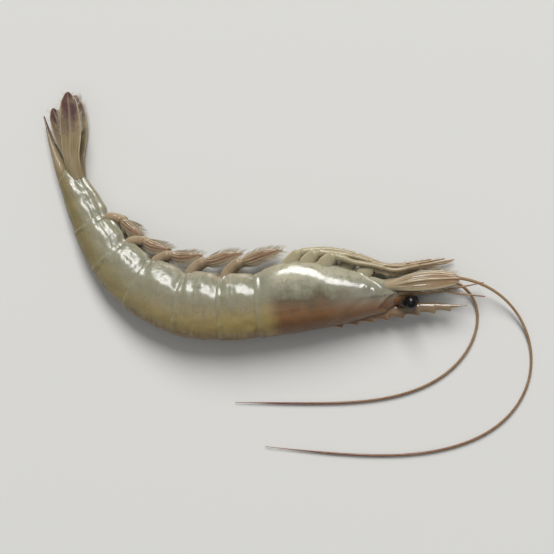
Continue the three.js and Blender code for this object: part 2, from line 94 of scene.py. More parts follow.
def slope(x, height, low, high):
    """A smooth rise to a height, from 0."""
    return height * smoothstep(x, low, high)


def within(x, rise, fall):
    """1 between a rise and a fall, each given as (from, to), and 0 outside them."""
    return smoothstep(x, *rise) * (1.0 - smoothstep(x, *fall))


def hump(x, centre, reach):
    """A smooth bump, 1 at its centre."""
    return np.exp(-(((np.asarray(x, float) - centre) / reach) ** 2))


def bump(x, height, centre, reach):
    """A smooth bump of a height."""
    return height * hump(x, centre, reach)


def unit(vectors):
    return vectors / np.linalg.norm(vectors, axis=-1, keepdims=True)


def turns(count):
    """Angles spaced evenly round a circle."""
    return np.arange(count) / count * TAU


def profile(*stations):
    """A smooth curve through (position, value) stations, level at its ends."""
    x, y = np.array(stations, float).T
    rate = np.zeros_like(y)
    rate[1:-1] = (y[2:] - y[:-2]) / (x[2:] - x[:-2])

    def value(at):
        at = np.clip(np.asarray(at, float), x[0], x[-1])
        i = np.clip(np.searchsorted(x, at, side="right") - 1, 0, len(x) - 2)
        span = x[i + 1] - x[i]
        t = (at - x[i]) / span
        bend = t * (1.0 - t) * ((1.0 - t) * rate[i] - t * rate[i + 1]) * span
        return y[i] + (y[i + 1] - y[i]) * eased(t) + bend

    return value


# Body outline: back and belly half depths, half width and height of the midplane
BACK_DEPTH = profile(
    (-33, 1.5), (-30, 4.0), (-26, 5.0), (-20, 6.1), (-12, 7.1), (0, 7.9), (12, 8.3), (22, 8.0),
    (32, 7.1), (41, 6.0), (47, 5.1), (59, 3.3), (80, 2.8),
)
BELLY_DEPTH = profile(
    (-33, 1.4), (-30, 3.2), (-24, 5.8), (-18, 8.0), (-12, 9.2), (-6, 9.0), (0, 7.9), (12, 8.0), (22, 7.7),
    (32, 6.8), (41, 5.8), (47, 4.9), (59, 3.2), (80, 2.7),
)
HALF_WIDTH = profile(
    (-33, 1.4), (-30, 3.2), (-26, 4.3), (-20, 5.3), (-12, 6.1), (0, 6.4), (12, 6.4), (22, 6.2),
    (32, 5.5), (41, 4.7), (47, 4.0), (59, 2.8), (80, 2.4),
)
MIDPLANE = profile(
    (-60, 4.4), (-30, 5.0), (-12, 5.75), (0, 6.05), (12, 6.05), (22, 5.85), (32, 5.15),
    (41, 4.45), (47, 4.0), (59, 3.5), (80, 3.4),
)


def heading(s):
    """Direction of the body towards the tail, turning smoothly at each joint."""
    turned = sum(
        bend * smoothstep(s, joint - JOINT_REACH, joint + JOINT_REACH)
        for bend, joint in zip(JOINT_BENDS, JOINTS)
    )
    return np.radians(HEAD_HEADING - turned)


AXIS_S = np.arange(*AXIS_SPAN, AXIS_STEP)
AXIS_X = np.cumsum(np.cos(heading(AXIS_S + AXIS_STEP / 2))) * AXIS_STEP
AXIS_Y = np.cumsum(np.sin(heading(AXIS_S + AXIS_STEP / 2))) * AXIS_STEP
AXIS_X -= np.interp(0.0, AXIS_S, AXIS_X)
AXIS_Y -= np.interp(0.0, AXIS_S, AXIS_Y)


def place(s, v, u, clear=0.0):
    """Points in body coordinates, kept so far clear of the floor."""
    s, v, u, clear = np.broadcast_arrays(*(np.asarray(value, float) for value in (s, v, u, clear)))
    angle = heading(s)
    x = np.interp(s, AXIS_S, AXIS_X) - np.sin(angle) * v
    y = np.interp(s, AXIS_S, AXIS_Y) + np.cos(angle) * v
    z = np.maximum(MIDPLANE(s) + u, clear)
    return np.stack((x, y, z), axis=-1)


def belly_edge(s):
    """Depth of the side plates, scalloped at each joint."""
    nearest = np.min(np.abs(np.asarray(s, float)[..., None] - JOINTS), axis=-1)
    return BELLY_DEPTH(s) - SCALLOP * (1.0 - smoothstep(nearest, 0.0, SCALLOP_REACH))


def shell(s, angle, lift=0.0, clear=0.0):
    """Points on the shell, `lift` above its surface, and how far each is towards the back, -1 to 1."""
    s, angle, lift, clear = np.broadcast_arrays(s, angle, lift, clear)
    towards, sideways = np.cos(angle), np.sin(angle)
    on_back = towards > 0.0
    power = np.where(on_back, 2.0 / BACK_ROUNDNESS, 2.0 / BELLY_ROUNDNESS)
    reach = np.sign(towards) * np.abs(towards) ** power
    v = (np.where(on_back, BACK_DEPTH(s), belly_edge(s)) + lift) * reach
    u = (HALF_WIDTH(s) + lift) * np.sign(sideways) * np.abs(sideways) ** power
    return place(s, v, u, clear), reach


WAVES = 9
WAVE_PITCHES = (0.7, 1.6)


def uneven(x, y, pitch, seed):
    """Gentle random unevenness of about -1 to 1, with waves of about `pitch` across."""
    draw = np.random.default_rng(seed)
    total = np.zeros(np.broadcast(x, y).shape)
    for _ in range(WAVES):
        direction, phase = draw.uniform(0.0, TAU, 2)
        rate = TAU / (pitch * draw.uniform(*WAVE_PITCHES))
        total += np.sin(rate * (x * np.cos(direction) + y * np.sin(direction)) + phase)
    return total / math.sqrt(WAVES)


def waves_of(x, y, waves, index=0):
    """The sum of waves given as (height, pitch, seed), drawn anew for each index."""
    return sum(height * uneven(x, y, pitch, seed + index) for height, pitch, seed in waves)


# The second ring as its solid has it, as (share of its length, inset), to read the frame's place from
NECK = 1.2
RING_SECTIONS = ((0.0, 0.45), (0.2, 0.18), (0.45, 0.0), (0.72, 0.0), (0.87, 0.0), (1.0, 0.05))
RING_SECTION_SIDES = 24
RING_GAP = 0.3


def body_origin():
    """Where the body's own origin lies in the frame, in millimetres, from the box of the second ring."""
    angle = turns(RING_SECTION_SIDES)
    start, length = JOINTS[1], RING_LENGTHS[1]
    points = []
    for share, inset in RING_SECTIONS:
        points.append(shell(max(start + share * length, start + RING_GAP), angle, -inset)[0])
    points = np.concatenate(points)
    low, high = (np.array(corner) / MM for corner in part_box("abdomen_ring_2"))
    offset = (low + high - points.min(0) - points.max(0)) / 2.0
    offset[2] = 0.0
    return offset


ORIGIN = body_origin()


# Sizes and colours that a user would change


def srgb(code):
    """A colour written as a six-digit code, as linear red, green, blue and full alpha."""
    parts = [((code >> shift) & 255) / 255.0 for shift in (16, 8, 0)]
    return (*[p / 12.92 if p <= 0.04045 else ((p + 0.055) / 1.055) ** 2.4 for p in parts], 1.0)


def length_of(name, description, size):
    return FloatProperty(name=name, description=description, default=size * MM, unit="LENGTH", precision=5)


def angle_of(name, description, degrees):
    return FloatProperty(name=name, description=description, default=math.radians(degrees), subtype="ANGLE")


def power_of(name, description, watts):
    return FloatProperty(name=name, description=description, default=watts, unit="POWER")


def colour_of(name, description, code):
    return FloatVectorProperty(
        name=name, description=description, default=srgb(code), size=4, subtype="COLOR", min=0.0, max=1.0,
    )


class PrawnShape(bpy.types.PropertyGroup):
    """Relief of the shell and fine sizes of the limbs"""

    lip_step: length_of("Lip step", "How far a plate stands over the one behind it", 0.17)
    lip_thickness: length_of("Lip thickness", "Thickness of a plate at its rear edge", 0.1)
    rim_height: length_of("Rim height", "How far the rear rim of a plate is raised", 0.07)
    ripple_height: length_of("Ripple height", "Height of the fine ripples round the rings", 0.016)
    ripple_pitch: length_of("Ripple pitch", "Distance between the ripples", 1.5)
    flank_bulge: length_of("Flank bulge", "How far the side plates swell below their crease", 0.08)
    flank_lean: length_of("Flank lean", "How far the flank of a ring leans in towards the belly", 0.5)
    barrel: length_of("Barrel", "How far the flank of a ring swells between its edges", 0.3)
    cheek_bulge: length_of("Cheek bulge", "How far the lower rear of the head shell swells", 0.45)
    belly_hollow: length_of("Belly hollow", "Depth of the hollow between the side plates", 1.3)
    groove_depth: length_of("Groove depth", "Depth of the grooves on the head shell", 0.14)
    tooth_height: length_of("Tooth height", "Height of the teeth on the rostrum", 0.75)
    bristle_length: length_of("Bristle length", "Length of the bristles on paddles and blades", 1.3)
    bristle_radius: length_of("Bristle radius", "Radius of a bristle at its root", 0.045)
    whip_pitch: length_of("Whip pitch", "Length of the links of a feeler", 0.6)


class PrawnColours(bpy.types.PropertyGroup):
    """Colours of the shell and limbs"""

    belly: colour_of("Belly", "Edge of the side plates", 0x9A907A)
    flank: colour_of("Flank", "Flank towards the belly", 0x7E7D68)
    side: colour_of("Side", "Middle of the flank", 0x7E7459)
    olive: colour_of("Olive", "Flank towards the back", 0x9C8956)
    rear: colour_of("Rear", "Grey-green that the rings turn to towards the tail", 0x807E6A)
    # Partly the olive-brown of the back, partly painted shade on the back of the rings towards the tail
    rear_back_olive_and_shade: colour_of("Rear back", "Olive-brown of the back towards the tail", 0x776A44)
    back: colour_of("Back", "Ridge of the back", 0x7C5F34)
    rim: colour_of("Rim", "Rear rims of the plates", 0x8E886F)
    head_cream: colour_of("Head cream", "Head shell towards the belly", 0xA09B84)
    head_side: colour_of("Head side", "Middle of the head shell", 0x55472F)
    head_brown: colour_of("Head brown", "Head shell towards the back", 0x825D3B)
    head_ridge: colour_of("Head ridge", "Ridge of the head", 0x6C4A2D)
    head_orange: colour_of("Head orange", "Flecks on the head shell by the eye", 0x94582A)
    # Partly the grey of the cheek, partly a painted reflection on the wet shell behind the eye
    face: colour_of("Face", "Grey patch on the cheek behind the eye", 0x807E6E)
    gills: colour_of("Gills", "Olive patches of the gills under the head shell", 0x565236)
    speckle: colour_of("Speckle", "Fine dark dots on the shell", 0x2E2618)
    limb: colour_of("Limb", "Walking legs and mouth legs", 0x938A6E)
    limb_tip: colour_of("Limb tip", "Ends of the legs and scales", 0x806648)
    scale: colour_of("Scale", "Antennal scales", 0x96876C)
    limb_edge: colour_of("Limb edge", "Pale edges of legs, scales and swimmerets", 0xB4A88C)
    paddle: colour_of("Paddle", "Swimmerets", 0x8E7C62)
    paddle_tip: colour_of("Paddle tip", "Ends of the swimmerets", 0x7C624C)
    bristle: colour_of("Bristle", "Bristles", 0xB0A083)
    feeler_root: colour_of("Feeler root", "Feelers near the head", 0x8A7354)
    feeler: colour_of("Feeler", "Whips of the feelers", 0x5E3325)
    tail: colour_of("Tail", "Tail blades near their roots", 0x857659)
    tail_tip: colour_of("Tail tip", "Tail blades near their ends", 0x4A3235)
    tail_edge: colour_of("Tail edge", "Edges and ribs of the tail blades", 0xA69A80)
    eye: colour_of("Eye", "Balls of the eyes", 0x070605)
    stalk: colour_of("Stalk", "Stalks of the eyes", 0x6B4D30)


class PrawnStage(bpy.types.PropertyGroup):
    """Camera, light and floor"""

    camera_tilt: angle_of("Camera tilt", "How far the camera leans towards the head", 8.0)
    camera_lens: FloatProperty(
        name="Lens", description="Focal length of the camera in millimetres", default=85.0,
        subtype="DISTANCE_CAMERA",
    )
    view_width: length_of("View width", "Width of what the camera shows", 124.0)
    key_elevation: angle_of("Key elevation", "Height of the main light over the horizon", 48.0)
    key_power: power_of("Key power", "Power of the main light", 108.0)
    fill_power: power_of("Fill power", "Power of the light above", 20.0)
    sky_strength: FloatProperty(name="Sky", description="Strength of the light all round", default=0.22)
    floor: colour_of("Floor", "Plain pale floor", 0xCBCAC6)


# Meshes

# Towards the back, along the piece, rims, the head's own colour, its orange, and places along and round
# the body
VALUES = ("back", "along", "rim", "head", "glow", "lengthwise", "crosswise")


class Skins:
    """Closed skins gathered into one mesh. Each point carries the values that its finish reads."""

    def __init__(self):
        self.points = []
        self.faces = []
        self.finishes = []
        self.values = {name: [] for name in VALUES}
        self.count = 0

    def add(self, rows, finish=0, **values):
        """Adds skins over rows of points, shaped ([skins,] rows, sides, 3) and capped at both ends."""
        rows = np.asarray(rows, float)
        if rows.ndim == 3:
            rows = rows[None]
            values = {name: np.asarray(value)[None] for name, value in values.items()}
        skins, length, sides, _ = rows.shape
        points = np.concatenate((rows.reshape(skins, -1, 3), rows[:, (0, -1)].mean(axis=2)), axis=1)
        corner = np.arange(length * sides).reshape(length, sides)
        after = np.roll(corner, -1, axis=1)
        quads = np.stack((corner[:-1], corner[1:], after[1:], after[:-1]), axis=-1).reshape(-1, 4)
        first = np.full(sides, length * sides)
        caps = np.concatenate((
            np.stack((first, corner[0], after[0]), axis=-1),
            np.stack((first + 1, after[-1], corner[-1]), axis=-1),
        ))
        if enclosed(points[0], quads) < 0.0:
            quads, caps = quads[:, ::-1], caps[:, ::-1]
        starts = self.count + np.arange(skins)[:, None, None] * points.shape[1]
        for faces in (quads, caps):
            made = (faces[None] + starts).reshape(-1, faces.shape[1])
            self.faces.extend(made.tolist())
            self.finishes.extend([finish] * len(made))
        for name in VALUES:
            value = np.broadcast_to(values.get(name, 0.0), (skins, length, sides))
            ends = value[:, (0, -1)].mean(axis=2)
            self.values[name].append(np.concatenate((value.reshape(skins, -1), ends), axis=1).ravel())
        self.points.append(points.reshape(-1, 3))
        self.count += skins * points.shape[1]

    def piece(self, name, materials, slot, *replaced):
        """Makes the mesh object, which rides on the body and stands for the named solids."""
        mesh = bpy.data.meshes.new(name)
        points = (np.concatenate(self.points) + ORIGIN) * MM
        mesh.from_pydata(points.tolist(), [], self.faces)
        mesh.polygons.foreach_set("material_index", self.finishes)
        for value_name, parts in self.values.items():
            attribute = mesh.attributes.new(value_name, "FLOAT", "POINT")
            attribute.data.foreach_set("value", np.concatenate(parts).astype(np.float32))
        for material in materials:
            mesh.materials.append(material)
        mesh.shade_smooth()
        mesh.set_sharp_from_angle(angle=SHARP_ANGLE)
        piece = bpy.data.objects.new(name, mesh)
        bpy.context.scene.collection.objects.link(piece)
        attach(piece, "root")
        if replaced:
            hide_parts(*replaced)


def enclosed(points, quads):
    """Six times the volume inside a skin, below zero if its faces point in."""
    centred = points - points.mean(axis=0)
    a, b, c, d = (centred[quads[:, i]] for i in range(4))
    return np.sum(a * np.cross(b, c)) + np.sum(a * np.cross(c, d))


PATH_DENSITY = 40


def smooth_path(points, count):
    """`count` points spaced evenly along a smooth curve through the given ones, with their directions."""
    points = np.asarray(points, float)
    padded = np.vstack((2 * points[0] - points[1], points, 2 * points[-1] - points[-2]))
    t = np.linspace(0.0, 1.0, PATH_DENSITY, endpoint=False)[:, None]
    dense = []
    for p0, p1, p2, p3 in zip(padded, padded[1:], padded[2:], padded[3:]):
        d0, d1, d2 = (math.sqrt(np.linalg.norm(b - a)) for a, b in ((p0, p1), (p1, p2), (p2, p3)))
        m1 = ((p1 - p0) / d0 - (p2 - p0) / (d0 + d1) + (p2 - p1) / d1) * d1
        m2 = ((p2 - p1) / d1 - (p3 - p1) / (d1 + d2) + (p3 - p2) / d2) * d1
        dense.append(p1 + (p2 - p1) * eased(t) + t * (1.0 - t) * ((1.0 - t) * m1 - t * m2))
    dense = np.vstack((*dense, points[-1:]))
    along = np.concatenate(([0.0], np.cumsum(np.linalg.norm(np.diff(dense, axis=0), axis=1))))
    at = np.linspace(0.0, along[-1], count)
    path = np.stack([np.interp(at, along, dense[:, k]) for k in range(3)], axis=-1)
    return path, unit(np.gradient(path, axis=0))


TIP_ROWS = (0.85, 0.4)
BRISTLE_FINISH = 1
BRISTLE_ROOT = 0.93
BRISTLE_SCATTER = 0.12
BRISTLE_REACH = (0.7, 1.15)
BRISTLE_ROWS = np.array((0.0, 0.45, 1.0))
BRISTLE_TAPER = np.array((1.0, 0.75, 0.2))
BRISTLE_SIDES = 3
BRISTLE_BEND = 0.35
BRISTLE_CLEARANCE = 0.02
BARELY = 1e-6


class Limb:
    """An oval tube along a path, closed at its tip: wide along the floor, or along Z if it is upright.

    Its relief makes it thicker or thinner by the share of its length and the place across it, -1 to 1.
    """

    def __init__(self, points, width, height, mesh, upright=False, relief=None):
        steps, sides = mesh
        self.t = np.linspace(0.0, 1.0, steps + 1)
        self.centre, self.along = smooth_path(points, steps + 1)
        level = unit(np.cross(self.along, UPWARDS))
        steep = np.cross(level, self.along)
        self.across, self.through = (steep, level) if upright else (level, steep)
        self.angle = turns(sides)
        closing = np.ones(steps + 1)
        closing[-len(TIP_ROWS):] = TIP_ROWS
        self.width = width(self.t) * closing
        x = self.width[:, None] * np.cos(self.angle)
        y = (height(self.t) * closing)[:, None] * np.sin(self.angle)
        if relief is not None:
            y = y * relief(self.t[:, None], np.cos(self.angle))
        self.rows = self.centre[:, None] + self.across[:, None] * x[..., None]
        self.rows += self.through[:, None] * y[..., None]
        self.rows[..., 2] = np.maximum(self.rows[..., 2], 0.0)

    def add_to(self, skins, **values):
        shape = (len(self.t), len(self.angle))
        values.setdefault("along", np.broadcast_to(self.t[:, None], shape))
        values.setdefault("back", np.broadcast_to(np.abs(np.cos(self.angle)), shape))
        skins.add(self.rows, **values)

    def fringe(self, skins, shape, draw, span, count, lean=0.75, size=1.0):
        """Bristles along both edges of the limb, between the two shares of its length in `span`."""
        for side in SIDES.values():
            at = np.sort(draw.uniform(*span, count)) * (len(self.t) - 1)
            i = np.clip(at.astype(int), 0, len(self.t) - 2)
            part = (at - i)[:, None]
            centre, across, along, width = (
                values[i] * (1.0 - part) + values[i + 1] * part
                for values in (self.centre, self.across, self.along, self.width[:, None])
            )
            out = across * side
            root = centre + out * width * BRISTLE_ROOT
            way = unit(out + along * lean + draw.normal(0.0, BRISTLE_SCATTER, (count, 3)))
            reach = shape.bristle_length / MM * size * draw.uniform(*BRISTLE_REACH, count)
            bristles(skins, root, way, along, reach, shape.bristle_radius / MM)


def tube(points, radius, mesh):
    """A round limb."""
    return Limb(points, radius, radius, mesh)


def bristles(skins, root, way, towards, reach, radius):
    """Fine three-sided spikes that bend over towards a direction."""
    bend = BRISTLE_BEND * reach[:, None, None] * (BRISTLE_ROWS**2)[None, :, None] * towards[:, None]
    line = root[:, None] + way[:, None] * (BRISTLE_ROWS[None, :] * reach[:, None])[..., None] + bend
    side = unit(np.cross(way, UPWARDS) + BARELY)
    up = np.cross(side, way)
    angle = turns(BRISTLE_SIDES)
    spokes = side[:, None] * np.cos(angle)[None, :, None] + up[:, None] * np.sin(angle)[None, :, None]
    rows = line[:, :, None] + spokes[:, None] * (radius * BRISTLE_TAPER)[None, :, None, None]
    rows[..., 2] = np.maximum(rows[..., 2], BRISTLE_CLEARANCE)
    skins.add(rows, BRISTLE_FINISH, along=BRISTLE_ROWS[None, :, None])


TIP_LEFT = 0.003
JOINT_WAIST = 0.26
JOINT_SWELL = 0.45
JOINT_SWELL_BEFORE = 2.2
JOINT_SWELL_REACH = 1.6
LINK_WAIST = 0.05


def scaled(size, factor):
    """A limb's size, times a factor."""

    def value(t):
        return factor * size(t)

    return value


def rounded(size, start):
    """A limb's size, rounded off past a share of its length."""

    def value(t):
        past = np.clip((t - start) / (1.0 - start), 0.0, 1.0)
        return size(t) * np.sqrt(np.maximum(1.0 - past**2, TIP_LEFT))

    return value


def jointed(size, joints, reach):
    """A limb's size with a waist at each joint and a slight swelling before it."""

    def value(t):
        waist = sum(hump(t, joint, reach) for joint in joints)
        swells = (joint - JOINT_SWELL_BEFORE * reach for joint in joints)
        swell = sum(hump(t, centre, JOINT_SWELL_REACH * reach) for centre in swells)
        return size(t) * (1.0 - JOINT_WAIST * waist + JOINT_SWELL * JOINT_WAIST * swell)

    return value


def linked(size, length, pitch):
    """A whip's size, with a fine waist between its links."""

    def value(t):
        return size(t) * (1.0 - LINK_WAIST + LINK_WAIST * np.cos(TAU * t * length / pitch))

    return value


def head_point(forward, v, u):
    """A point on the straight head, `forward` of the rear edge of its shell."""
    return place(-np.asarray(forward, float), v, u)


def head_path(path, sign):
    return [head_point(forward, v, sign * u) for forward, v, u in path]


def tail_path(path, sign):
    return [place(TAIL_ROOT + behind, v, sign * u) for behind, v, u in path]


# Finishes

# Colours along a value, as (position, name of the colour)
RING_STOPS = (
    (0.05, "belly"), (0.17, "flank"), (0.36, "flank"), (0.52, "side"), (0.76, "olive"), (0.88, "olive"),
    (0.98, "back"),
)
HEAD_STOPS = (
    (0.08, "head_cream"), (0.22, "head_cream"), (0.36, "flank"), (0.52, "head_side"), (0.74, "head_brown"),
    (0.96, "head_ridge"),
)
TAIL_STOPS = ((0.5, "tail"), (0.9, "tail_tip"))
EYE_STOPS = ((0.3, "eye"), (1.0, "stalk"))
LIMB_ROOT_END = 0.25
LIMB_TIP_START = 0.95

# Masks, as the range of a value and the range of the share that it becomes, where that isn't 0 to 1
BELLY_TO_BACK = (-1.0, 1.0)
TAIL_GREY = (6.0, 30.0, 0.0, 0.62)
TAIL_GREY_BACK = (0.3, 0.9, 1.0, 0.2)
# Partly the olive-brown of the back, partly painted shade: the back of the rings is darker towards the tail
TAIL_SHADE_AND_BROWN = (22.0, 44.0, 0.0, 0.9)
TAIL_SHADE_AND_BROWN_BACK = (0.1, 0.6)
# Partly the grey of the cheek, partly a painted reflection on it
CHEEK_REFLECTION_AND_GREY = (-15.0, -24.0, 0.0, 0.9)
CHEEK_REFLECTION_AND_GREY_BACK = (0.15, 0.7, 1.0, 0.4)
CHEEK_REFLECTION_AND_GREY_BELLY = (-0.65, -0.3, 0.3, 1.0)
GILLS = (0.0, 0.8)
GILLS_BELLY = (-0.1, -0.5, 0.15, 0.6)
HEAD_SHARE = (0.1, 0.9)
ORANGE_FLECKS = (0.0, 0.5, 0.3, 1.0)
WET_BACK = (0.3, 0.9, 1.0, 0.35)
PALE_EDGE = (0.6, 1.0, 0.0, 0.55)
EYE_GRAIN = (-1.0, 3.0)
SPECKLED_PATCHES = (0.42, 0.6)
WET_PATCHES = (0.35, 0.65)

NOISE_MIDDLE = 0.5
NOISE_GAIN = 4.0
SPECKLED_PATCH_SCALE = 260.0
FIBRE_STRETCH = 0.16
CLOUD_DRIFT = 8.0
HEAD_CLOUD = 0.8
SHELL_DOTS = 0.6
LIMB_DOTS = 0.4


def add_node(tree, kind, inputs=None, **settings):
    node = tree.nodes.new(kind)
    for name, value in settings.items():
        setattr(node, name, value)
    for name, value in (inputs or {}).items():
        if isinstance(value, bpy.types.NodeSocket):
            tree.links.new(value, node.inputs[name])
        else:
            node.inputs[name].default_value = value
    return node


def reading(tree, name):
    """A value that the mesh carries at each point."""
    return add_node(tree, "ShaderNodeAttribute", attribute_name=name).outputs["Fac"]


def position(tree):
    return add_node(tree, "ShaderNodeTexCoord").outputs["Object"]


def added(tree, a, b):
    return add_node(tree, "ShaderNodeMath", {0: a, 1: b}, operation="ADD").outputs[0]


def times(tree, a, b):
    return add_node(tree, "ShaderNodeMath", {0: a, 1: b}, operation="MULTIPLY").outputs[0]


def between(tree, value, low, high, to_low=0.0, to_high=1.0):
    """The value moved from one range to another, and kept inside it."""
    inputs = {"Value": value, "From Min": low, "From Max": high, "To Min": to_low, "To Max": to_high}
    return add_node(tree, "ShaderNodeMapRange", inputs, clamp=True).outputs["Result"]


def overlap(tree, *masks):
    """Where masks meet, each given as a value and the range that it is moved to."""
    share, *others = [between(tree, value, *span) for value, span in masks]
    for other in others:
        share = times(tree, share, other)
    return share


def mixed(tree, share, a, b):
    """Two colours mixed by a share."""
    return add_node(tree, "ShaderNodeMix", {0: share, 6: a, 7: b}, data_type="RGBA").outputs[2]


def ramp(tree, value, stops):
    """Colours along a value, as (position, colour) stops."""
    node = add_node(tree, "ShaderNodeValToRGB", {"Fac": value})
    elements = node.color_ramp.elements
    while len(elements) < len(stops):
        elements.new(0.5)
    for element, (at, colour) in zip(elements, stops):
        element.position = at
        element.color = tuple(colour)
    return node.outputs["Color"]


def named(colours, stops):
    return [(at, getattr(colours, name)) for at, name in stops]


def noise(tree, vector, scale, detail, roughness=0.5):
    inputs = {"Vector": vector, "Scale": scale, "Detail": detail, "Roughness": roughness}
    return add_node(tree, "ShaderNodeTexNoise", inputs).outputs["Fac"]


def swing(tree, value, amount):
    """Noise turned into a swing about zero."""
    return times(tree, times(tree, added(tree, value, -NOISE_MIDDLE), NOISE_GAIN), amount)


def new_group(name, inputs, outputs):
    tree = bpy.data.node_groups.new(name, "ShaderNodeTree")
    for label, value in inputs.items():
        socket = tree.interface.new_socket(label, in_out="INPUT", socket_type="NodeSocketFloat")
        socket.default_value = value
    for label in outputs:
        tree.interface.new_socket(label, in_out="OUTPUT", socket_type="NodeSocketFloat")
    return tree, tree.nodes.new("NodeGroupInput").outputs, tree.nodes.new("NodeGroupOutput").inputs


def use_group(tree, group_name, **inputs):
    node = tree.nodes.new("ShaderNodeGroup")
    node.node_tree = bpy.data.node_groups[group_name]
    for name, value in inputs.items():
        node.inputs[name].default_value = value
    return node.outputs


def mottle_group():
    """Soft cloudy unevenness, from -1 to 1."""
    tree, given, out = new_group("prawn_mottle", {"Scale": 300.0, "Amount": 0.2}, ["Value"])
    cloud = noise(tree, position(tree), given["Scale"], detail=4.0, roughness=0.6)
    tree.links.new(swing(tree, cloud, given["Amount"]), out["Value"])


def speckle_group():
    """Small scattered dots, thicker in some places than in others."""
    tree, given, out = new_group("prawn_speckles", {"Scale": 1500.0, "Size": 0.2}, ["Mask"])
    spot = position(tree)
    cells = add_node(tree, "ShaderNodeTexVoronoi", {"Vector": spot, "Scale": given["Scale"]})
    dot = between(tree, cells.outputs["Distance"], 0.0, given["Size"], 1.0, 0.0)
    patch = between(tree, noise(tree, spot, SPECKLED_PATCH_SCALE, detail=2.0), *SPECKLED_PATCHES)
    tree.links.new(times(tree, dot, patch), out["Mask"])


def wet_group():
    """A wet film that lies unevenly: a height for bumps and a roughness."""
    inputs = {"Scale": 900.0, "Smooth": 0.24, "Dull": 0.42}
    tree, given, out = new_group("prawn_wet_film", inputs, ["Height", "Roughness"])
    film = noise(tree, position(tree), given["Scale"], detail=3.0, roughness=0.55)
    tree.links.new(film, out["Height"])
    tree.links.new(between(tree, film, *WET_PATCHES, given["Smooth"], given["Dull"]), out["Roughness"])


def fibre_group():
    """Fine streaks round the body, from -1 to 1."""
    tree, given, out = new_group("prawn_fibres", {"Fineness": 1.2, "Amount": 0.3}, ["Value"])
    along = times(tree, reading(tree, "lengthwise"), given["Fineness"])
    crossing = times(tree, reading(tree, "crosswise"), FIBRE_STRETCH)
    spot = add_node(tree, "ShaderNodeCombineXYZ", {"X": along, "Y": crossing}).outputs["Vector"]
    streak = noise(tree, spot, 1.0, detail=3.0, roughness=0.65)
    tree.links.new(swing(tree, streak, given["Amount"]), out["Value"])


def wet_material(name, bump_height=0.00003, scale=900.0, smooth=0.34, dull=0.5, **settings):
    """A material with a wet, uneven surface. Returns its node tree and shader, to be given a colour."""
    material = bpy.data.materials.new(name)
    material.use_nodes = True
    tree = material.node_tree
    shader = tree.nodes["Principled BSDF"]
    film = use_group(tree, "prawn_wet_film", Scale=scale, Smooth=smooth, Dull=dull)
    inputs = {"Height": film["Height"], "Strength": 1.0, "Distance": bump_height}
    tree.links.new(add_node(tree, "ShaderNodeBump", inputs).outputs["Normal"], shader.inputs["Normal"])
    tree.links.new(film["Roughness"], shader.inputs["Roughness"])
    defaults = {
        "IOR": 1.38, "Specular IOR Level": 0.25,
        "Coat Weight": 0.5, "Coat Roughness": 0.08, "Coat IOR": 1.5,
        "Subsurface Weight": 0.5, "Subsurface Radius": (1.0, 0.8, 0.5), "Subsurface Scale": 0.0015,
    }
    for socket, value in {**defaults, **settings}.items():
        shader.inputs[socket].default_value = value
    return tree, shader


def shell_material(colours, name, fibre_amount, **settings):
    """Translucent shell: pale at the belly, grey-green on the flank, olive and brown towards the back, with
    painted shade on the back towards the tail and a painted reflection in the grey cheek patch.
    """
    tree, shader = wet_material(name, **settings)
    back = reading(tree, "back")
    cloud = use_group(tree, "prawn_mottle", Scale=330.0, Amount=0.17)["Value"]
    fibres = use_group(tree, "prawn_fibres", Fineness=1.4, Amount=fibre_amount)["Value"]
    shade = between(tree, added(tree, back, added(tree, cloud, fibres)), *BELLY_TO_BACK)
    clouded = added(tree, reading(tree, "lengthwise"), times(tree, cloud, CLOUD_DRIFT))
    ring_colour = ramp(tree, shade, named(colours, RING_STOPS))
    greyed = overlap(tree, (clouded, TAIL_GREY), (back, TAIL_GREY_BACK))
    ring_colour = mixed(tree, greyed, ring_colour, colours.rear)
    # Painted shade, partly the real olive-brown: the back of the rings is darkened towards the tail
    browned_and_shaded = overlap(tree, (clouded, TAIL_SHADE_AND_BROWN), (back, TAIL_SHADE_AND_BROWN_BACK))
    ring_colour = mixed(tree, browned_and_shaded, ring_colour, colours.rear_back_olive_and_shade)
    head_colour = ramp(tree, shade, named(colours, HEAD_STOPS))
    # The cheek patch: partly the shell's own grey, partly a painted reflection
    cheek = overlap(tree, (clouded, CHEEK_REFLECTION_AND_GREY), (back, CHEEK_REFLECTION_AND_GREY_BACK), (back, CHEEK_REFLECTION_AND_GREY_BELLY))
    head_colour = mixed(tree, cheek, head_colour, colours.face)
    patches = use_group(tree, "prawn_mottle", Scale=700.0, Amount=1.0)["Value"]
    gills = overlap(tree, (patches, GILLS), (back, GILLS_BELLY))
    head_colour = mixed(tree, gills, head_colour, colours.gills)
    on_head = added(tree, reading(tree, "head"), times(tree, cloud, HEAD_CLOUD))
    colour = mixed(tree, between(tree, on_head, *HEAD_SHARE), ring_colour, head_colour)
    flecks = use_group(tree, "prawn_speckles", Scale=1300.0, Size=0.6)["Mask"]
    glow = times(tree, reading(tree, "glow"), between(tree, flecks, *ORANGE_FLECKS))
    colour = mixed(tree, glow, colour, colours.head_orange)
    dots = use_group(tree, "prawn_speckles", Scale=1600.0, Size=0.3)["Mask"]
    colour = mixed(tree, times(tree, dots, SHELL_DOTS), colour, colours.speckle)
    colour = mixed(tree, reading(tree, "rim"), colour, colours.rim)
    tree.links.new(colour, shader.inputs["Base Color"])
    tree.links.new(between(tree, back, *WET_BACK), shader.inputs["Coat Weight"])


def along_limb(tree, scale, amount):
    """How far along a limb a point is, with cloudy changes."""
    cloud = use_group(tree, "prawn_mottle", Scale=scale, Amount=amount)["Value"]
    return between(tree, added(tree, reading(tree, "along"), cloud), 0.0, 1.0)


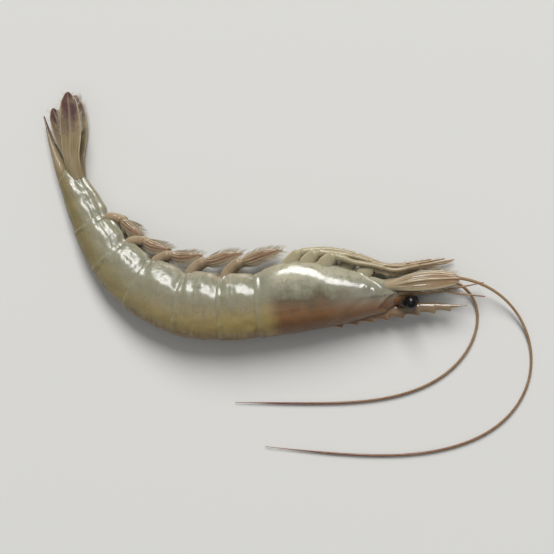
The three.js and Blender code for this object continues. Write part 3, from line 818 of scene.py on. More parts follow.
def limb_material(name, root, tip, edge=None, cloud_amount=0.18, **settings):
    """A limb that changes colour from its root to its tip, with darker and paler patches and pale edges."""
    tree, shader = wet_material(name, scale=1400.0, **settings)
    stops = ((LIMB_ROOT_END, root), (LIMB_TIP_START, tip))
    colour = ramp(tree, along_limb(tree, scale=500.0, amount=cloud_amount), stops)
    if edge is not None:
        colour = mixed(tree, between(tree, reading(tree, "back"), *PALE_EDGE), colour, edge)
    dots = use_group(tree, "prawn_speckles", Scale=1900.0, Size=0.22)["Mask"]
    colour = mixed(tree, times(tree, dots, LIMB_DOTS), colour, tip)
    tree.links.new(colour, shader.inputs["Base Color"])


def tail_material(colours):
    """Tail blades: olive-brown roots, dark purple-brown ends, pale ribs and edges."""
    tree, shader = wet_material("prawn_tail", scale=1300.0)
    colour = ramp(tree, along_limb(tree, scale=420.0, amount=0.25), named(colours, TAIL_STOPS))
    colour = mixed(tree, reading(tree, "rim"), colour, colours.tail_edge)
    tree.links.new(colour, shader.inputs["Base Color"])


def eye_material(colours):
    """A black eyeball with a faintly grained, wet surface."""
    film = {"bump_height": 0.00001, "scale": 2600.0, "smooth": 0.3, "dull": 0.4}
    tree, shader = wet_material("prawn_eye", **film, **{"Subsurface Weight": 0.0, "Coat Weight": 0.35})
    grain = use_group(tree, "prawn_mottle", Scale=900.0, Amount=0.3)["Value"]
    colour = ramp(tree, between(tree, grain, *EYE_GRAIN), named(colours, EYE_STOPS))
    tree.links.new(colour, shader.inputs["Base Color"])


def make_finishes(colours):
    mottle_group()
    speckle_group()
    wet_group()
    fibre_group()
    shell_material(colours, "prawn_head", fibre_amount=0.04, **{"Coat Roughness": 0.14})
    shell_material(colours, "prawn_ring", fibre_amount=0.12, **{"Coat Roughness": 0.26})
    limb_material("prawn_limb", colours.limb, colours.limb_tip, colours.limb_edge)
    limb_material("prawn_scale", colours.scale, colours.limb_tip, colours.limb_edge)
    limb_material("prawn_paddle", colours.paddle, colours.paddle_tip, colours.limb_edge, cloud_amount=0.3)
    limb_material("prawn_bristle", colours.bristle, colours.bristle, **{"Coat Weight": 0.2})
    limb_material("prawn_feeler", colours.feeler_root, colours.feeler)
    limb_material("prawn_stalk", colours.stalk, colours.eye)
    tail_material(colours)
    eye_material(colours)


def finishes(*names):
    return [bpy.data.materials["prawn_" + name] for name in names]


# Head shell and rings

SHELL_SIDES = 144
LIP_ROWS = ((0.02, 0.3), (0.05, 0.7), (-0.06, 1.0), (-1.1, 1.3))


def either_way(angle):
    """An angle round the body, counted from the ridge down to the left, or to the right below zero."""
    return (angle + math.pi) % TAU - math.pi


def round_the_body():
    """Angles round the body, and the same measured from the ridge down either flank, in degrees."""
    angle = turns(SHELL_SIDES)
    return angle, np.degrees(np.abs(either_way(angle)))


def add_lip(sections, edge, lift, thickness):
    """The rear edge of a plate, turned in under itself."""
    for behind, share in LIP_ROWS:
        sections.append((edge + behind, lift - share * thickness, share * thickness))


def plate(skins, sections, angle, **values):
    """A closed plate over sections given as (s, lift, clearance of the floor) round the body."""
    stacked = [np.broadcast_arrays(*section, angle)[:3] for section in sections]
    s, lift, clear = (np.array([row[k] for row in stacked]) for k in range(3))
    rows, towards = shell(s, angle, lift, clear)
    skins.add(rows, back=towards, lengthwise=s, crosswise=either_way(angle) * HALF_WIDTH(s), **values)


# The front edge of the head shell, by degrees down from the ridge
FRONT_EDGE = 28.4
EYE_NOTCH = (-1.9, 44.0, 15.0)
CHEEK_POINT = (1.7, 82.0, 9.0)
JAW_SLOPE = (-4.5, 100.0, 148.0)
# Relief of the head shell past its front edge, along it and by degrees down. Rims are in rim heights, and
# grooves, keels and beads in groove depths
HEAD_ROWS = 150
FRONT_STEP = (-0.42, -0.15, 0.3)
FRONT_RIM = (1.6, -0.55, 0.4)
REAR_RIM = (1.3, -0.5, 0.5)
REAR_FURROW = (-1.0, -1.6, 0.45)
NECK_GROOVE = -0.7
NECK_GROOVE_REACH = 1.3
NECK_LINE_START = 15.5
NECK_LINE_SWEEP = (8.5, 8.0, 92.0)
NECK_LINE_SPAN = ((4.0, 20.0), (84.0, 100.0))
GILL_GROOVE = -0.35
GILL_GROOVE_REACH = 5.0
GILL_LINE_START = 64.0
GILL_LINE_RATE = 0.5
GILL_LINE_SPAN = ((1.0, 5.0), (15.0, 19.0))
CHEEK_KEEL = (1.2, 84.0, 5.0)
CHEEK_KEEL_START = (19.0, 27.0)
CHEEK_BEAD_HEIGHT = 2.4
CHEEK_BEADS = (((26.2, 0.8), (92.0, 10.0)), ((24.6, 0.6), (99.0, 8.0)))
BELLY_RIM = (1.4, 140.0, 2.5)
BELLY_TURN_IN = (-0.6, 142.0, 152.0)
CHEEK_SWELLING = (136.0, 22.0)
CHEEK_END = (8.0, 20.0)
HEAD_LEAN = (-0.6, 90.0, 128.0)
HEAD_LEAN_START = (13.0, 22.0)
HEAD_WAVES = ((0.03, 5.5, 11), (0.005, 1.3, 12))
HEAD_GIRTH = 0.11
HEAD_COLOUR_START = (1.6, 6.5)
ORANGE_ALONG = (0.95, 26.0, 6.0)
ORANGE_DOWN = (42.0, 28.0)
HEAD_PALE_REAR = (0.35, -1.2, -0.3)
HEAD_PALE_BELLY = (0.4, 140.0, 4.0)


def front_edge(down):
    """How far forward the edge of the head shell reaches: hollowed for the eye, pointed below it."""
    return FRONT_EDGE + bump(down, *EYE_NOTCH) + bump(down, *CHEEK_POINT) + slope(down, *JAW_SLOPE)


def head_relief(shape, s, down):
    """Height of the head shell over its plain form: rims, grooves, a swollen cheek and unevenness."""
    groove = shape.groove_depth / MM
    rim = shape.rim_height / MM
    forward = -s
    past = forward - front_edge(down)
    lift = slope(past, *FRONT_STEP) + slope(down, *BELLY_TURN_IN)
    lift += rim * (bump(past, *FRONT_RIM) + bump(down, *BELLY_RIM))
    lift += rim * (bump(s, *REAR_RIM) + bump(s, *REAR_FURROW))
    neck_line = NECK_LINE_START + slope(down, *NECK_LINE_SWEEP)
    on_neck = hump(forward, neck_line, NECK_GROOVE_REACH) * within(down, *NECK_LINE_SPAN)
    gill_line = GILL_LINE_START + GILL_LINE_RATE * forward
    on_gills = hump(down, gill_line, GILL_GROOVE_REACH) * within(forward, *GILL_LINE_SPAN)
    lift += groove * (NECK_GROOVE * on_neck + GILL_GROOVE * on_gills)
    lift += groove * bump(down, *CHEEK_KEEL) * smoothstep(forward, *CHEEK_KEEL_START)
    beads = sum(hump(forward, *lengthwise) * hump(down, *around) for lengthwise, around in CHEEK_BEADS)
    lift += CHEEK_BEAD_HEIGHT * groove * beads
    lift += shape.cheek_bulge / MM * hump(down, *CHEEK_SWELLING) * (1.0 - smoothstep(forward, *CHEEK_END))
    lift += shape.flank_lean / MM * slope(down, *HEAD_LEAN) * smoothstep(forward, *HEAD_LEAN_START)
    return lift + waves_of(s, down * HEAD_GIRTH, HEAD_WAVES)


def head_shell(shape):
    skins = Skins()
    angle, down = round_the_body()
    front = -(HEAD_LENGTH + SNOUT_LENGTH)
    sections = []
    for share in np.linspace(0.0, 1.0, HEAD_ROWS):
        s = front * (1.0 - share)
        sections.append((np.full_like(angle, s), head_relief(shape, s, down), 0.0))
    add_lip(sections, 0.0, sections[-1][1], shape.lip_thickness / MM)
    s = np.array([np.broadcast_to(section[0], angle.shape) for section in sections])
    head = smoothstep(-s, *HEAD_COLOUR_START)
    glow = bump(-s, *ORANGE_ALONG) * hump(down, *ORANGE_DOWN)
    rim = slope(s, *HEAD_PALE_REAR) + bump(down, *HEAD_PALE_BELLY)
    plate(skins, sections, angle, head=head, glow=glow, rim=rim)
    rostrum(skins, shape)
    skins.piece("head_shell", finishes("head"), "shell", "head_shell")


ROSTRUM_START = 13.0
ROSTRUM_TIP = 46.0
ROSTRUM_TEETH = 8
ROSTRUM_TEETH_START = 15.0
ROSTRUM_TIP_HEIGHT = 4.6
ROSTRUM_SWEEP = 0.8
ROSTRUM_DEPTH = profile((13, 1.2), (28, 2.6), (36, 2.2), (42, 1.0), (46, 0.2))
ROSTRUM_HALF_THICKNESS = profile((13, 0.3), (26, 0.62), (36, 0.5), (46, 0.14))
ROSTRUM_EDGE_THINNING = 0.4
ROSTRUM_ROWS = 240
ROSTRUM_SIDES = 12
TOOTH_FOOT = 0.15
TOOTH_POINT = 0.9
TOOTH_CURVE = 1.4
# Its colour: that of the head shell at a place along it and a height on its flank, paler towards the tip
ROSTRUM_COLOUR_S = -5.0
ROSTRUM_ROOT_SHADE = 0.55
ROSTRUM_SHADE_DROP = 0.3
ROSTRUM_PALE = 0.3
ROSTRUM_PALE_RIDGE = 0.3


def rostrum(skins, shape):
    """The toothed spike along the ridge of the head, a blade with a thick middle and thin edges."""
    forward = np.linspace(ROSTRUM_START, ROSTRUM_TIP, ROSTRUM_ROWS)
    span = ROSTRUM_TIP - ROSTRUM_TEETH_START
    share = np.clip((forward - ROSTRUM_TEETH_START) / span, 0.0, 1.0)
    root_height = BACK_DEPTH(-ROSTRUM_TEETH_START)
    ridge = root_height + (ROSTRUM_TIP_HEIGHT - root_height) * share**ROSTRUM_SWEEP
    ridge = np.where(forward < ROSTRUM_TEETH_START, BACK_DEPTH(-forward), ridge)
    pitch = span / (ROSTRUM_TEETH + 1)
    in_tooth = ((forward - ROSTRUM_TEETH_START) / pitch) % 1.0
    rise = np.clip((in_tooth - TOOTH_FOOT) / (TOOTH_POINT - TOOTH_FOOT), 0.0, 1.0) ** TOOTH_CURVE
    rise *= 1.0 - smoothstep(in_tooth, TOOTH_POINT, 1.0)
    toothed = (forward > ROSTRUM_TEETH_START) & (forward < ROSTRUM_TEETH_START + ROSTRUM_TEETH * pitch)
    top = ridge + np.where(toothed, rise * shape.tooth_height / MM, 0.0)
    low = ridge - ROSTRUM_DEPTH(forward)
    angle = turns(ROSTRUM_SIDES)
    v = (top + low)[:, None] / 2 + (top - low)[:, None] / 2 * np.cos(angle)
    thinned = np.sin(angle) * np.abs(np.sin(angle)) ** ROSTRUM_EDGE_THINNING
    rows = head_point(forward[:, None], v, ROSTRUM_HALF_THICKNESS(forward)[:, None] * thinned)
    share = np.broadcast_to(share[:, None], v.shape)
    back = ROSTRUM_ROOT_SHADE - ROSTRUM_SHADE_DROP * share
    rim = (ROSTRUM_PALE + ROSTRUM_PALE_RIDGE * np.maximum(np.cos(angle), 0.0)) * share
    skins.add(rows, back=back, head=1.0, rim=rim, lengthwise=ROSTRUM_COLOUR_S)


# Relief of a ring by its share of the length and degrees down from the ridge. Rims are in rim heights
RING_ROWS = 48
RING_TUCK = 0.8
NECK_INSET = 0.85
NECK_FOLD = 0.1
STEP_END = (0.02, 0.5)
RING_RIM = (1.0, 0.95, 0.04)
RING_FURROW = (-0.7, 0.86, 0.04)
RING_GIRTH = 0.12
RIPPLE_WANDER = ((2.0, 5.0, 40),)
RIPPLE_STRENGTH = 0.65
RIPPLE_PATCHES = ((0.4, 3.0, 60),)
RIPPLE_START = (0.1, 0.3)
RING_WAVES = ((0.06, 3.6, 80), (0.016, 1.3, 100))
LEAN_START = 96.0
LEAN_START_STEP = 3.5
LEAN_RUN = 40.0
LEAN_RETURN = (0.8, 138.0, 160.0)
BARREL = (105.0, 40.0)
FLANK_SWELL = (1.0, 126.0, 10.0)
FLANK_CREASE = (-0.8, 110.0, 4.0)
BELLY_HOLLOW = (150.0, 164.0)
LAST_RING = len(RING_LENGTHS) - 1
LAST_RING_ROUNDING = 0.75
LAST_RING_ROUNDING_START = (0.84, 1.0)
LAST_RING_CREASE = 0.3
LAST_RING_DENTS = 2.6
LAST_RING_DENT_DEPTH = 0.13
LAST_RING_DENT_SLANT = 20.0
LAST_RING_DENT_SPAN = (100.0, 34.0)
# The rear edge of a ring by degrees down, and how pale its rim is
RING_SWEEP = (0.45, 55.0, 116.0)
RING_CORNER = (-1.2, 126.0, 152.0)
LAST_RING_POINT = (0.5, 80.0, 28.0)
LAST_RING_CORNER = (-2.0, 105.0, 165.0)
RING_PALE_START = (0.9, 0.98)
RING_PALE = 0.18
RING_PALE_FLANK = (0.25, 60.0, 120.0)


def step_down(shape, share):
    """How far a ring lies under the plate in front of it."""
    return shape.lip_step / MM * (1.0 - smoothstep(share, *STEP_END))


def belly_hollow(shape, down):
    """How far a ring is hollowed between its side plates."""
    return shape.belly_hollow / MM * smoothstep(down, *BELLY_HOLLOW)


def ring_relief(shape, index, share, s, down):
    """Height of a ring over its plain form: a step at the front, ripples and a crease down its flank."""
    around = down * RING_GIRTH
    lift = shape.rim_height / MM * (bump(share, *RING_RIM) + bump(share, *RING_FURROW))
    lift -= step_down(shape, share)
    ripple = np.sin(TAU * s / (shape.ripple_pitch / MM) + waves_of(s, around, RIPPLE_WANDER, index))
    ripple *= RIPPLE_STRENGTH + waves_of(s, around, RIPPLE_PATCHES, index)
    lift += shape.ripple_height / MM * ripple * smoothstep(share, *RIPPLE_START)
    lift += waves_of(s, around, RING_WAVES, index)
    lean_start = LEAN_START - LEAN_START_STEP * index
    leaning = smoothstep(down, lean_start, lean_start + LEAN_RUN) * (1.0 - slope(down, *LEAN_RETURN))
    lift -= shape.flank_lean / MM * leaning
    arch = np.sin(math.pi * share)
    lift -= shape.barrel / MM * (1.0 - arch) * hump(down, *BARREL)
    swell = shape.flank_bulge / MM * arch * (bump(down, *FLANK_SWELL) + bump(down, *FLANK_CREASE))
    if index == LAST_RING:
        swell *= LAST_RING_CREASE
        lift -= LAST_RING_ROUNDING * smoothstep(share, *LAST_RING_ROUNDING_START) ** 2
        dents = np.sin(TAU * LAST_RING_DENTS * share + down / LAST_RING_DENT_SLANT)
        lift += LAST_RING_DENT_DEPTH * dents * arch * hump(down, *LAST_RING_DENT_SPAN)
    return lift + swell - belly_hollow(shape, down)


def ring_edge(index, down):
    """The rear edge of a ring: it reaches back down the flank and rounds off at the belly."""
    if index == LAST_RING:
        return JOINTS[index + 1] + bump(down, *LAST_RING_POINT) + slope(down, *LAST_RING_CORNER)
    return JOINTS[index + 1] + slope(down, *RING_SWEEP) + slope(down, *RING_CORNER)


def ring(shape, index):
    skins = Skins()
    angle, down = round_the_body()
    start = JOINTS[index]
    edge = ring_edge(index, down)
    hollow = belly_hollow(shape, down)
    sections = [
        (np.full_like(angle, start - NECK), -NECK_INSET - hollow, NECK_INSET),
        (np.full_like(angle, start - RING_TUCK - NECK_FOLD), -NECK_INSET / 2 - hollow, NECK_INSET / 2),
    ]
    steps = np.linspace(0.0, 1.0, RING_ROWS)
    for step in steps:
        s = start - RING_TUCK + step * (edge - start + RING_TUCK)
        share = np.clip((s - start) / (edge - start), 0.0, 1.0)
        sections.append((s, ring_relief(shape, index, share, s, down), step_down(shape, share)))
    shares = np.concatenate((np.zeros(len(sections) - RING_ROWS), steps, np.ones(len(LIP_ROWS))))
    add_lip(sections, edge, sections[-1][1], shape.lip_thickness / MM)
    rim = smoothstep(shares, *RING_PALE_START)[:, None] * (RING_PALE + slope(down, *RING_PALE_FLANK))
    plate(skins, sections, angle, rim=rim)
    name = f"abdomen_ring_{index + 1}"
    skins.piece(name, finishes("ring"), "ring_shell", name)


# Tail fan

TELSON_PATH = ((-1.0, 1.65, 0.0), (7.25, 1.6, 0.0), (14.5, 1.3, 0.0))
TELSON_HALF_HEIGHT = rounded(profile((0, 1.6), (0.15, 1.75), (0.7, 1.1), (1, 0.2)), 0.98)
TELSON_HALF_THICKNESS = rounded(profile((0, 1.7), (0.15, 1.6), (0.5, 0.9), (1, 0.2)), 0.98)
TELSON_MESH = (70, 28)
TELSON_GROOVE = (-0.35, 0.0, 0.3)
TELSON_GROOVE_START = (0.05, 0.2)
TELSON_PALE = 0.5
INNER_BLADE_PATH = ((-2.4, -1.2, 0.44), (3.5, -1.7, 0.9), (7.5, -1.8, 1.45), (15.0, -1.7, 1.7))
OUTER_BLADE_PATH = (
    (-2.6, -1.1, 1.5), (0.0, -1.6, 1.85), (3.0, -2.2, 2.1), (8.5, -4.2, 2.6), (17.0, -6.6, 2.8),
)
INNER_BLADE_THICKNESS = profile((0, 0.4), (0.35, 0.3), (1, 0.16))
OUTER_BLADE_THICKNESS = profile((0, 0.9), (0.2, 0.95), (0.34, 0.5), (0.48, 0.3), (1, 0.16))
BLADES = {
    "inner": (INNER_BLADE_PATH, 2.0, INNER_BLADE_THICKNESS),
    "outer": (OUTER_BLADE_PATH, 2.5, OUTER_BLADE_THICKNESS),
}
BLADE_LEAF = rounded(profile((0, 0.62), (0.2, 0.72), (0.6, 1), (0.86, 0.8), (1, 0.5)), 0.88)
BLADE_MESH = (120, 72)
BLADE_FRINGE = {"span": (0.5, 0.99), "count": 46, "size": 0.75}
BLADE_SEED = 5
# Ribs, thin edges and pale parts of a leaf, across it from -1 to 1 and by its share of the length
LEAF_RIB = (0.9, 0.0, 0.12)
LEAF_FINE_RIBS = 0.22
LEAF_FINE_RIB_RATE = 26.0
LEAF_RIB_START = (0.15, 0.4)
LEAF_EDGE = (-0.35, 0.5, 0.95)
LEAF_PALE_EDGE = (0.7, 0.82, 0.97)
LEAF_PALE_RIB = (0.5, 0.0, 0.1)
LEAF_PALE_START = (0.05, 0.3)


def blade_relief(t, across):
    """A rib along the middle of a leaf, fine ribs beside it, and thin edges."""
    ribs = bump(across, *LEAF_RIB) + LEAF_FINE_RIBS * np.cos(across * LEAF_FINE_RIB_RATE)
    return (1.0 + ribs * smoothstep(t, *LEAF_RIB_START)) * (1.0 + slope(np.abs(across), *LEAF_EDGE))


def leaf_rim(leaf):
    """How much each point of a leaf belongs to its ribs or edges."""
    across = np.cos(leaf.angle)
    rim = slope(np.abs(across), *LEAF_PALE_EDGE) + bump(across, *LEAF_PALE_RIB)
    return rim * smoothstep(leaf.t, *LEAF_PALE_START)[:, None]


def telson_relief(t, across):
    """A groove along the outer face of the spike."""
    return 1.0 + bump(across, *TELSON_GROOVE) * smoothstep(t, *TELSON_GROOVE_START)


def tail_fan(shape):
    skins = Skins()
    spike = Limb(
        tail_path(TELSON_PATH, 1.0), TELSON_HALF_HEIGHT, TELSON_HALF_THICKNESS, TELSON_MESH,
        upright=True, relief=telson_relief,
    )
    spike.add_to(skins, rim=TELSON_PALE * leaf_rim(spike))
    skins.piece("telson", finishes("tail"), "tail", "telson")
    draw = np.random.default_rng(BLADE_SEED)
    for side, sign in SIDES.items():
        for kind, (path, half_width, thickness) in BLADES.items():
            skins = Skins()
            width = scaled(BLADE_LEAF, half_width)
            leaf = Limb(tail_path(path, sign), width, thickness, BLADE_MESH, relief=blade_relief)
            leaf.add_to(skins, rim=leaf_rim(leaf))
            leaf.fringe(skins, shape, draw, **BLADE_FRINGE)
            name = f"tail_blade_{kind}_{side}"
            skins.piece(name, finishes("tail", "bristle"), "tail", name)


# Eyes, antennal scales and feelers

EYE_FOOT = (30.0, 1.9, 1.0)
EYE_CENTRE = (33.9, 2.75, 3.05)
EYE_RADIUS = 1.55
EYE_FLATNESS = 0.94
EYE_ROWS = 40
EYE_SIDES = 48
EYE_POLE = 0.02
EYE_STALK_RADIUS = profile((0, 0.85), (0.35, 0.9), (0.7, 1.2), (1, 1.3))
EYE_STALK_MESH = (30, 24)
# Where the stalk ends, and the point that its middle is halfway to, in radii before the centre of the eye
EYE_STALK_END = 0.55
EYE_STALK_MIDDLE = 0.75


def eyes():
    turn = np.linspace(EYE_POLE, math.pi - EYE_POLE, EYE_ROWS)[:, None, None]
    angle = turns(EYE_SIDES)[:, None]
    for side, sign in SIDES.items():
        foot, centre = head_path((EYE_FOOT, EYE_CENTRE), sign)
        lean = unit(centre - foot)
        level = unit(np.cross(lean, UPWARDS))
        outwards = level * np.cos(angle) + np.cross(level, lean) * np.sin(angle)
        onwards = lean * EYE_FLATNESS
        skins = Skins()
        skins.add(centre + EYE_RADIUS * (outwards * np.sin(turn) - onwards * np.cos(turn)))
        skins.piece(f"eye_{side}", finishes("eye"), "eye", f"eye_{side}")
        skins = Skins()
        middle = (foot + centre - lean * EYE_STALK_MIDDLE * EYE_RADIUS) / 2
        end = centre - lean * EYE_STALK_END * EYE_RADIUS
        tube((foot, middle, end), EYE_STALK_RADIUS, EYE_STALK_MESH).add_to(skins)
        skins.piece(f"eye_stalk_{side}", finishes("stalk"), "limb")


SCALE_PATH = ((27.2, -1.2, 2.1), (30.5, -1.35, 2.85), (37.5, -1.8, 3.4), (45.0, -1.5, 3.2))
SCALE_OUTLINE = profile((0, 0.7), (0.16, 1.1), (0.44, 2.0), (0.7, 2.1), (0.915, 1.35), (1, 0.9))
SCALE_HALF_WIDTH = rounded(SCALE_OUTLINE, 0.91)
SCALE_HALF_THICKNESS = profile((0, 0.6), (0.16, 0.55), (0.48, 0.3), (1, 0.16))
SCALE_MESH = (90, 64)
SCALE_FRINGE = {"span": (0.47, 0.98), "count": 50, "size": 0.7}
SCALE_SEED = 6
SCALE_BASE_PATH = ((27.5, -1.6, 1.2), (30.5, -1.7, 1.7), (33.5, -1.7, 1.9))
SCALE_BASE_RADIUS = profile((0, 1.1), (0.55, 1.3), (0.85, 1.1), (1, 0.55))
SCALE_BASE_MESH = (36, 28)


def scales(shape):
    draw = np.random.default_rng(SCALE_SEED)
    for side, sign in SIDES.items():
        skins = Skins()
        path = head_path(SCALE_PATH, sign)
        leaf = Limb(path, SCALE_HALF_WIDTH, SCALE_HALF_THICKNESS, SCALE_MESH, relief=blade_relief)
        leaf.add_to(skins, rim=leaf_rim(leaf))
        leaf.fringe(skins, shape, draw, **SCALE_FRINGE)
        name = f"antennal_scale_{side}"
        skins.piece(name, finishes("scale", "bristle"), "limb", name)
        skins = Skins()
        tube(head_path(SCALE_BASE_PATH, sign), SCALE_BASE_RADIUS, SCALE_BASE_MESH).add_to(skins)
        skins.piece(f"antenna_base_{side}", finishes("scale"), "limb")


SHORT_FEELER_PATH = ((31.0, 0.4, 1.1), (37.0, 0.5, 1.25), (42.0, 0.7, 1.3))
SHORT_FEELER_RADIUS = jointed(profile((0, 0.9), (0.7, 0.8), (1, 0.5)), (0.42, 0.74), 0.03)
SHORT_FEELER_MESH = (60, 20)
SHORT_FEELER_FORKS = (
    ((41.4, 0.9, 1.3), (45.0, 1.9, 1.35), (50.0, 2.9, 1.5)),
    ((41.4, 0.6, 1.3), (45.0, 0.35, 1.35), (50.0, -0.2, 1.5)),
)
FORK_LENGTH = 9.0
FORK_RADIUS = profile((0, 0.28), (1, 0.12))
FORK_MESH = (70, 10)
LONG_FEELER_ROOT = ((30.5, -1.9, 1.15), (37.0, -2.3, 1.25))
LONG_FEELER_STALK = 6.5
LONG_FEELER_STALK_RADIUS = 0.9
LONG_FEELER_STALK_JOINTS = (0.5, 1.0)
LONG_FEELER_JOINT_REACH = 0.006
LONG_FEELER_NARROWING = (0.8, 1.3)
LONG_FEELER_RADIUS = 0.42
LONG_FEELER_THIN = (0.85, 0.26)
LONG_FEELER_TIP_RADIUS = 0.07
LONG_FEELER_STRIDE = 3.0
LONG_FEELER_DENSITY = 5
LONG_FEELER_SIDES = 12
# Where each long feeler has sunk to the floor, and its turn in degrees by the distance along it
LONG_FEELERS = {
    "left": (34.0, ((0, 0), (8, 14), (26, 70), (60, 165), (105, 190))),
    "right": (17.0, ((0, 0), (6, 25), (20, 110), (45, 172), (81, 185))),
}
FLOOR_CLEARANCE = 0.12


def long_feeler_path(sign, sink, bends):
    """Points of a long feeler: a stalk, then a whip that turns to the back as it sinks to the floor."""
    turned = profile(*bends)
    points = head_path(LONG_FEELER_ROOT, sign)
    start = points[-1]
    ahead = heading(-HEAD_LENGTH) - math.pi
    lowest = LONG_FEELER_RADIUS + FLOOR_CLEARANCE
    half_stride = LONG_FEELER_STRIDE / 2
    point = start.copy()
    for along in np.arange(LONG_FEELER_STRIDE, bends[-1][0] + half_stride, LONG_FEELER_STRIDE):
        angle = ahead - math.radians(turned(along - half_stride))
        point = point + LONG_FEELER_STRIDE * np.array((math.cos(angle), math.sin(angle), 0.0))
        point[2] = start[2] + slope(along, lowest - start[2], 0.0, sink)
        points.append(point)
    return points


def feelers(shape):
    pitch = shape.whip_pitch / MM
    fork_radius = linked(FORK_RADIUS, FORK_LENGTH, pitch)
    for side, sign in SIDES.items():
        skins = Skins()
        stalk = tube(head_path(SHORT_FEELER_PATH, sign), SHORT_FEELER_RADIUS, SHORT_FEELER_MESH)
        stalk.add_to(skins, along=0.0)
        for fork in SHORT_FEELER_FORKS:
            tube(head_path(fork, sign), fork_radius, FORK_MESH).add_to(skins)
        name = f"short_feeler_{side}"
        skins.piece(name, finishes("feeler"), "feeler", name)
        skins = Skins()
        sink, bends = LONG_FEELERS[side]
        whole = bends[-1][0] + LONG_FEELER_STALK
        end = LONG_FEELER_STALK / whole
        narrowing, narrowed = (share * end for share in LONG_FEELER_NARROWING)
        radius = profile(
            (0, LONG_FEELER_STALK_RADIUS), (narrowing, LONG_FEELER_STALK_RADIUS),
            (narrowed, LONG_FEELER_RADIUS), LONG_FEELER_THIN, (1, LONG_FEELER_TIP_RADIUS),
        )
        joints = [share * end for share in LONG_FEELER_STALK_JOINTS]
        radius = linked(jointed(radius, joints, LONG_FEELER_JOINT_REACH), whole, pitch)
        mesh = (int(whole * LONG_FEELER_DENSITY), LONG_FEELER_SIDES)
        tube(long_feeler_path(sign, sink, bends), radius, mesh).add_to(skins)
        name = f"long_feeler_{side}"
        skins.piece(name, finishes("feeler"), "feeler", name)


# Legs and swimmerets

LEG_PAIRS = 5
LEG_HIP_FRONT = 22.5
LEG_HIP_SPACING = 4.1
LEG_HIP_SINK = 3.4
LEG_KNEE = 3.5
LEG_TIPS = (38.0, 41.0, 44.0, 42.0, 39.0)
LEG_LANE = 0.3
LEG_FANS = (0.0, 0.35, 0.7, 1.3, 1.7)
LEG_FAN_STARTS = (24.0, 24.0, 22.0, 15.0, 11.0)
LEG_FAN_RUN = 5.5
LEG_SPREADS = (2.5, 1.5, 3.5)
LEG_LIFT = 0.09
LEG_STRIDES = 6
LEG_GAP = 0.3
# Half widths of a leg by the share of its length, those of its base counted to the knee
LEG_BASE = ((0.0, 0.8), (0.28, 1.45), (0.5, 1.65), (0.9, 1.3), (1.35, 0.85), (1.8, 0.62))
LEG_SHAFT = ((0.6, 0.47), (0.82, 0.31), (1.0, 0.13))
LEG_HALF_HEIGHT = profile((0, 0.75), (0.12, 0.75), (0.3, 0.52), (0.7, 0.41), (1, 0.15))
LEG_BASE_JOINT = 1.15
LEG_SHAFT_JOINTS = (0.52, 0.76)
LEG_JOINT_REACH = 0.32
LEG_MESH = (180, 20)
LEG_FRINGE = {"span": (0.3, 0.95), "count": 16, "size": 0.5, "lean": 1.5}
LEG_SEED = 7
PINCER_PAIRS = 3
PINCER_START = 0.86
PINCER_OPENING = 0.42
PINCER_CURVE = (0.25, 0.95 * math.pi)
PINCER_STRIDE = 4
PINCER_RADIUS = profile((0, 0.2), (0.5, 0.17), (1, 0.06))
PINCER_MESH = (24, 10)
PINCER_COLOUR_ALONG = 0.9
MOUTH_LEG_ROOT = 25.5
MOUTH_LEG_SINK = 1.4
MOUTH_LEG_STATIONS = (28.5, 34.0, 41.0)
MOUTH_LEG_LANE = 0.45
MOUTH_LEG_SPREAD = 0.52
MOUTH_LEG_OUTLINE = profile((0, 0.45), (0.3, 0.46), (0.7, 0.38), (1, 0.15))
MOUTH_LEG_RADIUS = jointed(MOUTH_LEG_OUTLINE, (0.3, 0.55, 0.8), 0.016)
MOUTH_LEG_MESH = (90, 16)
MOUTH_LEG_FRINGE = {"span": (0.3, 0.98), "count": 40, "size": 0.7, "lean": 1.2}
MOUTH_LEG_SEED = 8


def head_belly(forward):
    """The belly line under the head, carried on level past the snout."""
    return -BELLY_DEPTH(-np.minimum(forward, HEAD_LENGTH)) - LEG_GAP


def leg_path(pair, sign):
    hip = LEG_HIP_FRONT - pair * LEG_HIP_SPACING
    start = LEG_FAN_STARTS[pair]
    spread = sign * LEG_SPREADS[pair % len(LEG_SPREADS)]
    points = [head_point(hip, head_belly(hip) + LEG_HIP_SINK, spread)]
    for forward in np.linspace(hip + LEG_KNEE, LEG_TIPS[pair], LEG_STRIDES + 1):
        lane = LEG_LANE + slope(forward, LEG_FANS[pair], start, start + LEG_FAN_RUN)
        lift = LEG_LIFT * max(0.0, forward - HEAD_LENGTH)
        points.append(head_point(forward, head_belly(forward) - lane - lift, spread))
    return points


def walking_leg(path):
    """A leg with a broad base, a shaft and joints, along a path whose second point is the knee."""
    strides = np.linalg.norm(np.diff(path, axis=0), axis=1)
    length = strides.sum()
    knee = strides[0] / length
    width = profile(*((share * knee, half) for share, half in LEG_BASE), *LEG_SHAFT)
    joints = (LEG_BASE_JOINT * knee, *LEG_SHAFT_JOINTS)
    sizes = (jointed(size, joints, LEG_JOINT_REACH / length) for size in (width, LEG_HALF_HEIGHT))
    return Limb(path, *sizes, LEG_MESH)


def pincer(leg):
    """The finger that closes against the end of a leg."""
    start = int(PINCER_START * (len(leg.t) - 1))
    opening = PINCER_OPENING * np.sin(np.linspace(*PINCER_CURVE, len(leg.t) - start))
    finger = leg.centre[start:] + leg.across[start:] * opening[:, None]
    return tube(finger[::PINCER_STRIDE], PINCER_RADIUS, PINCER_MESH)


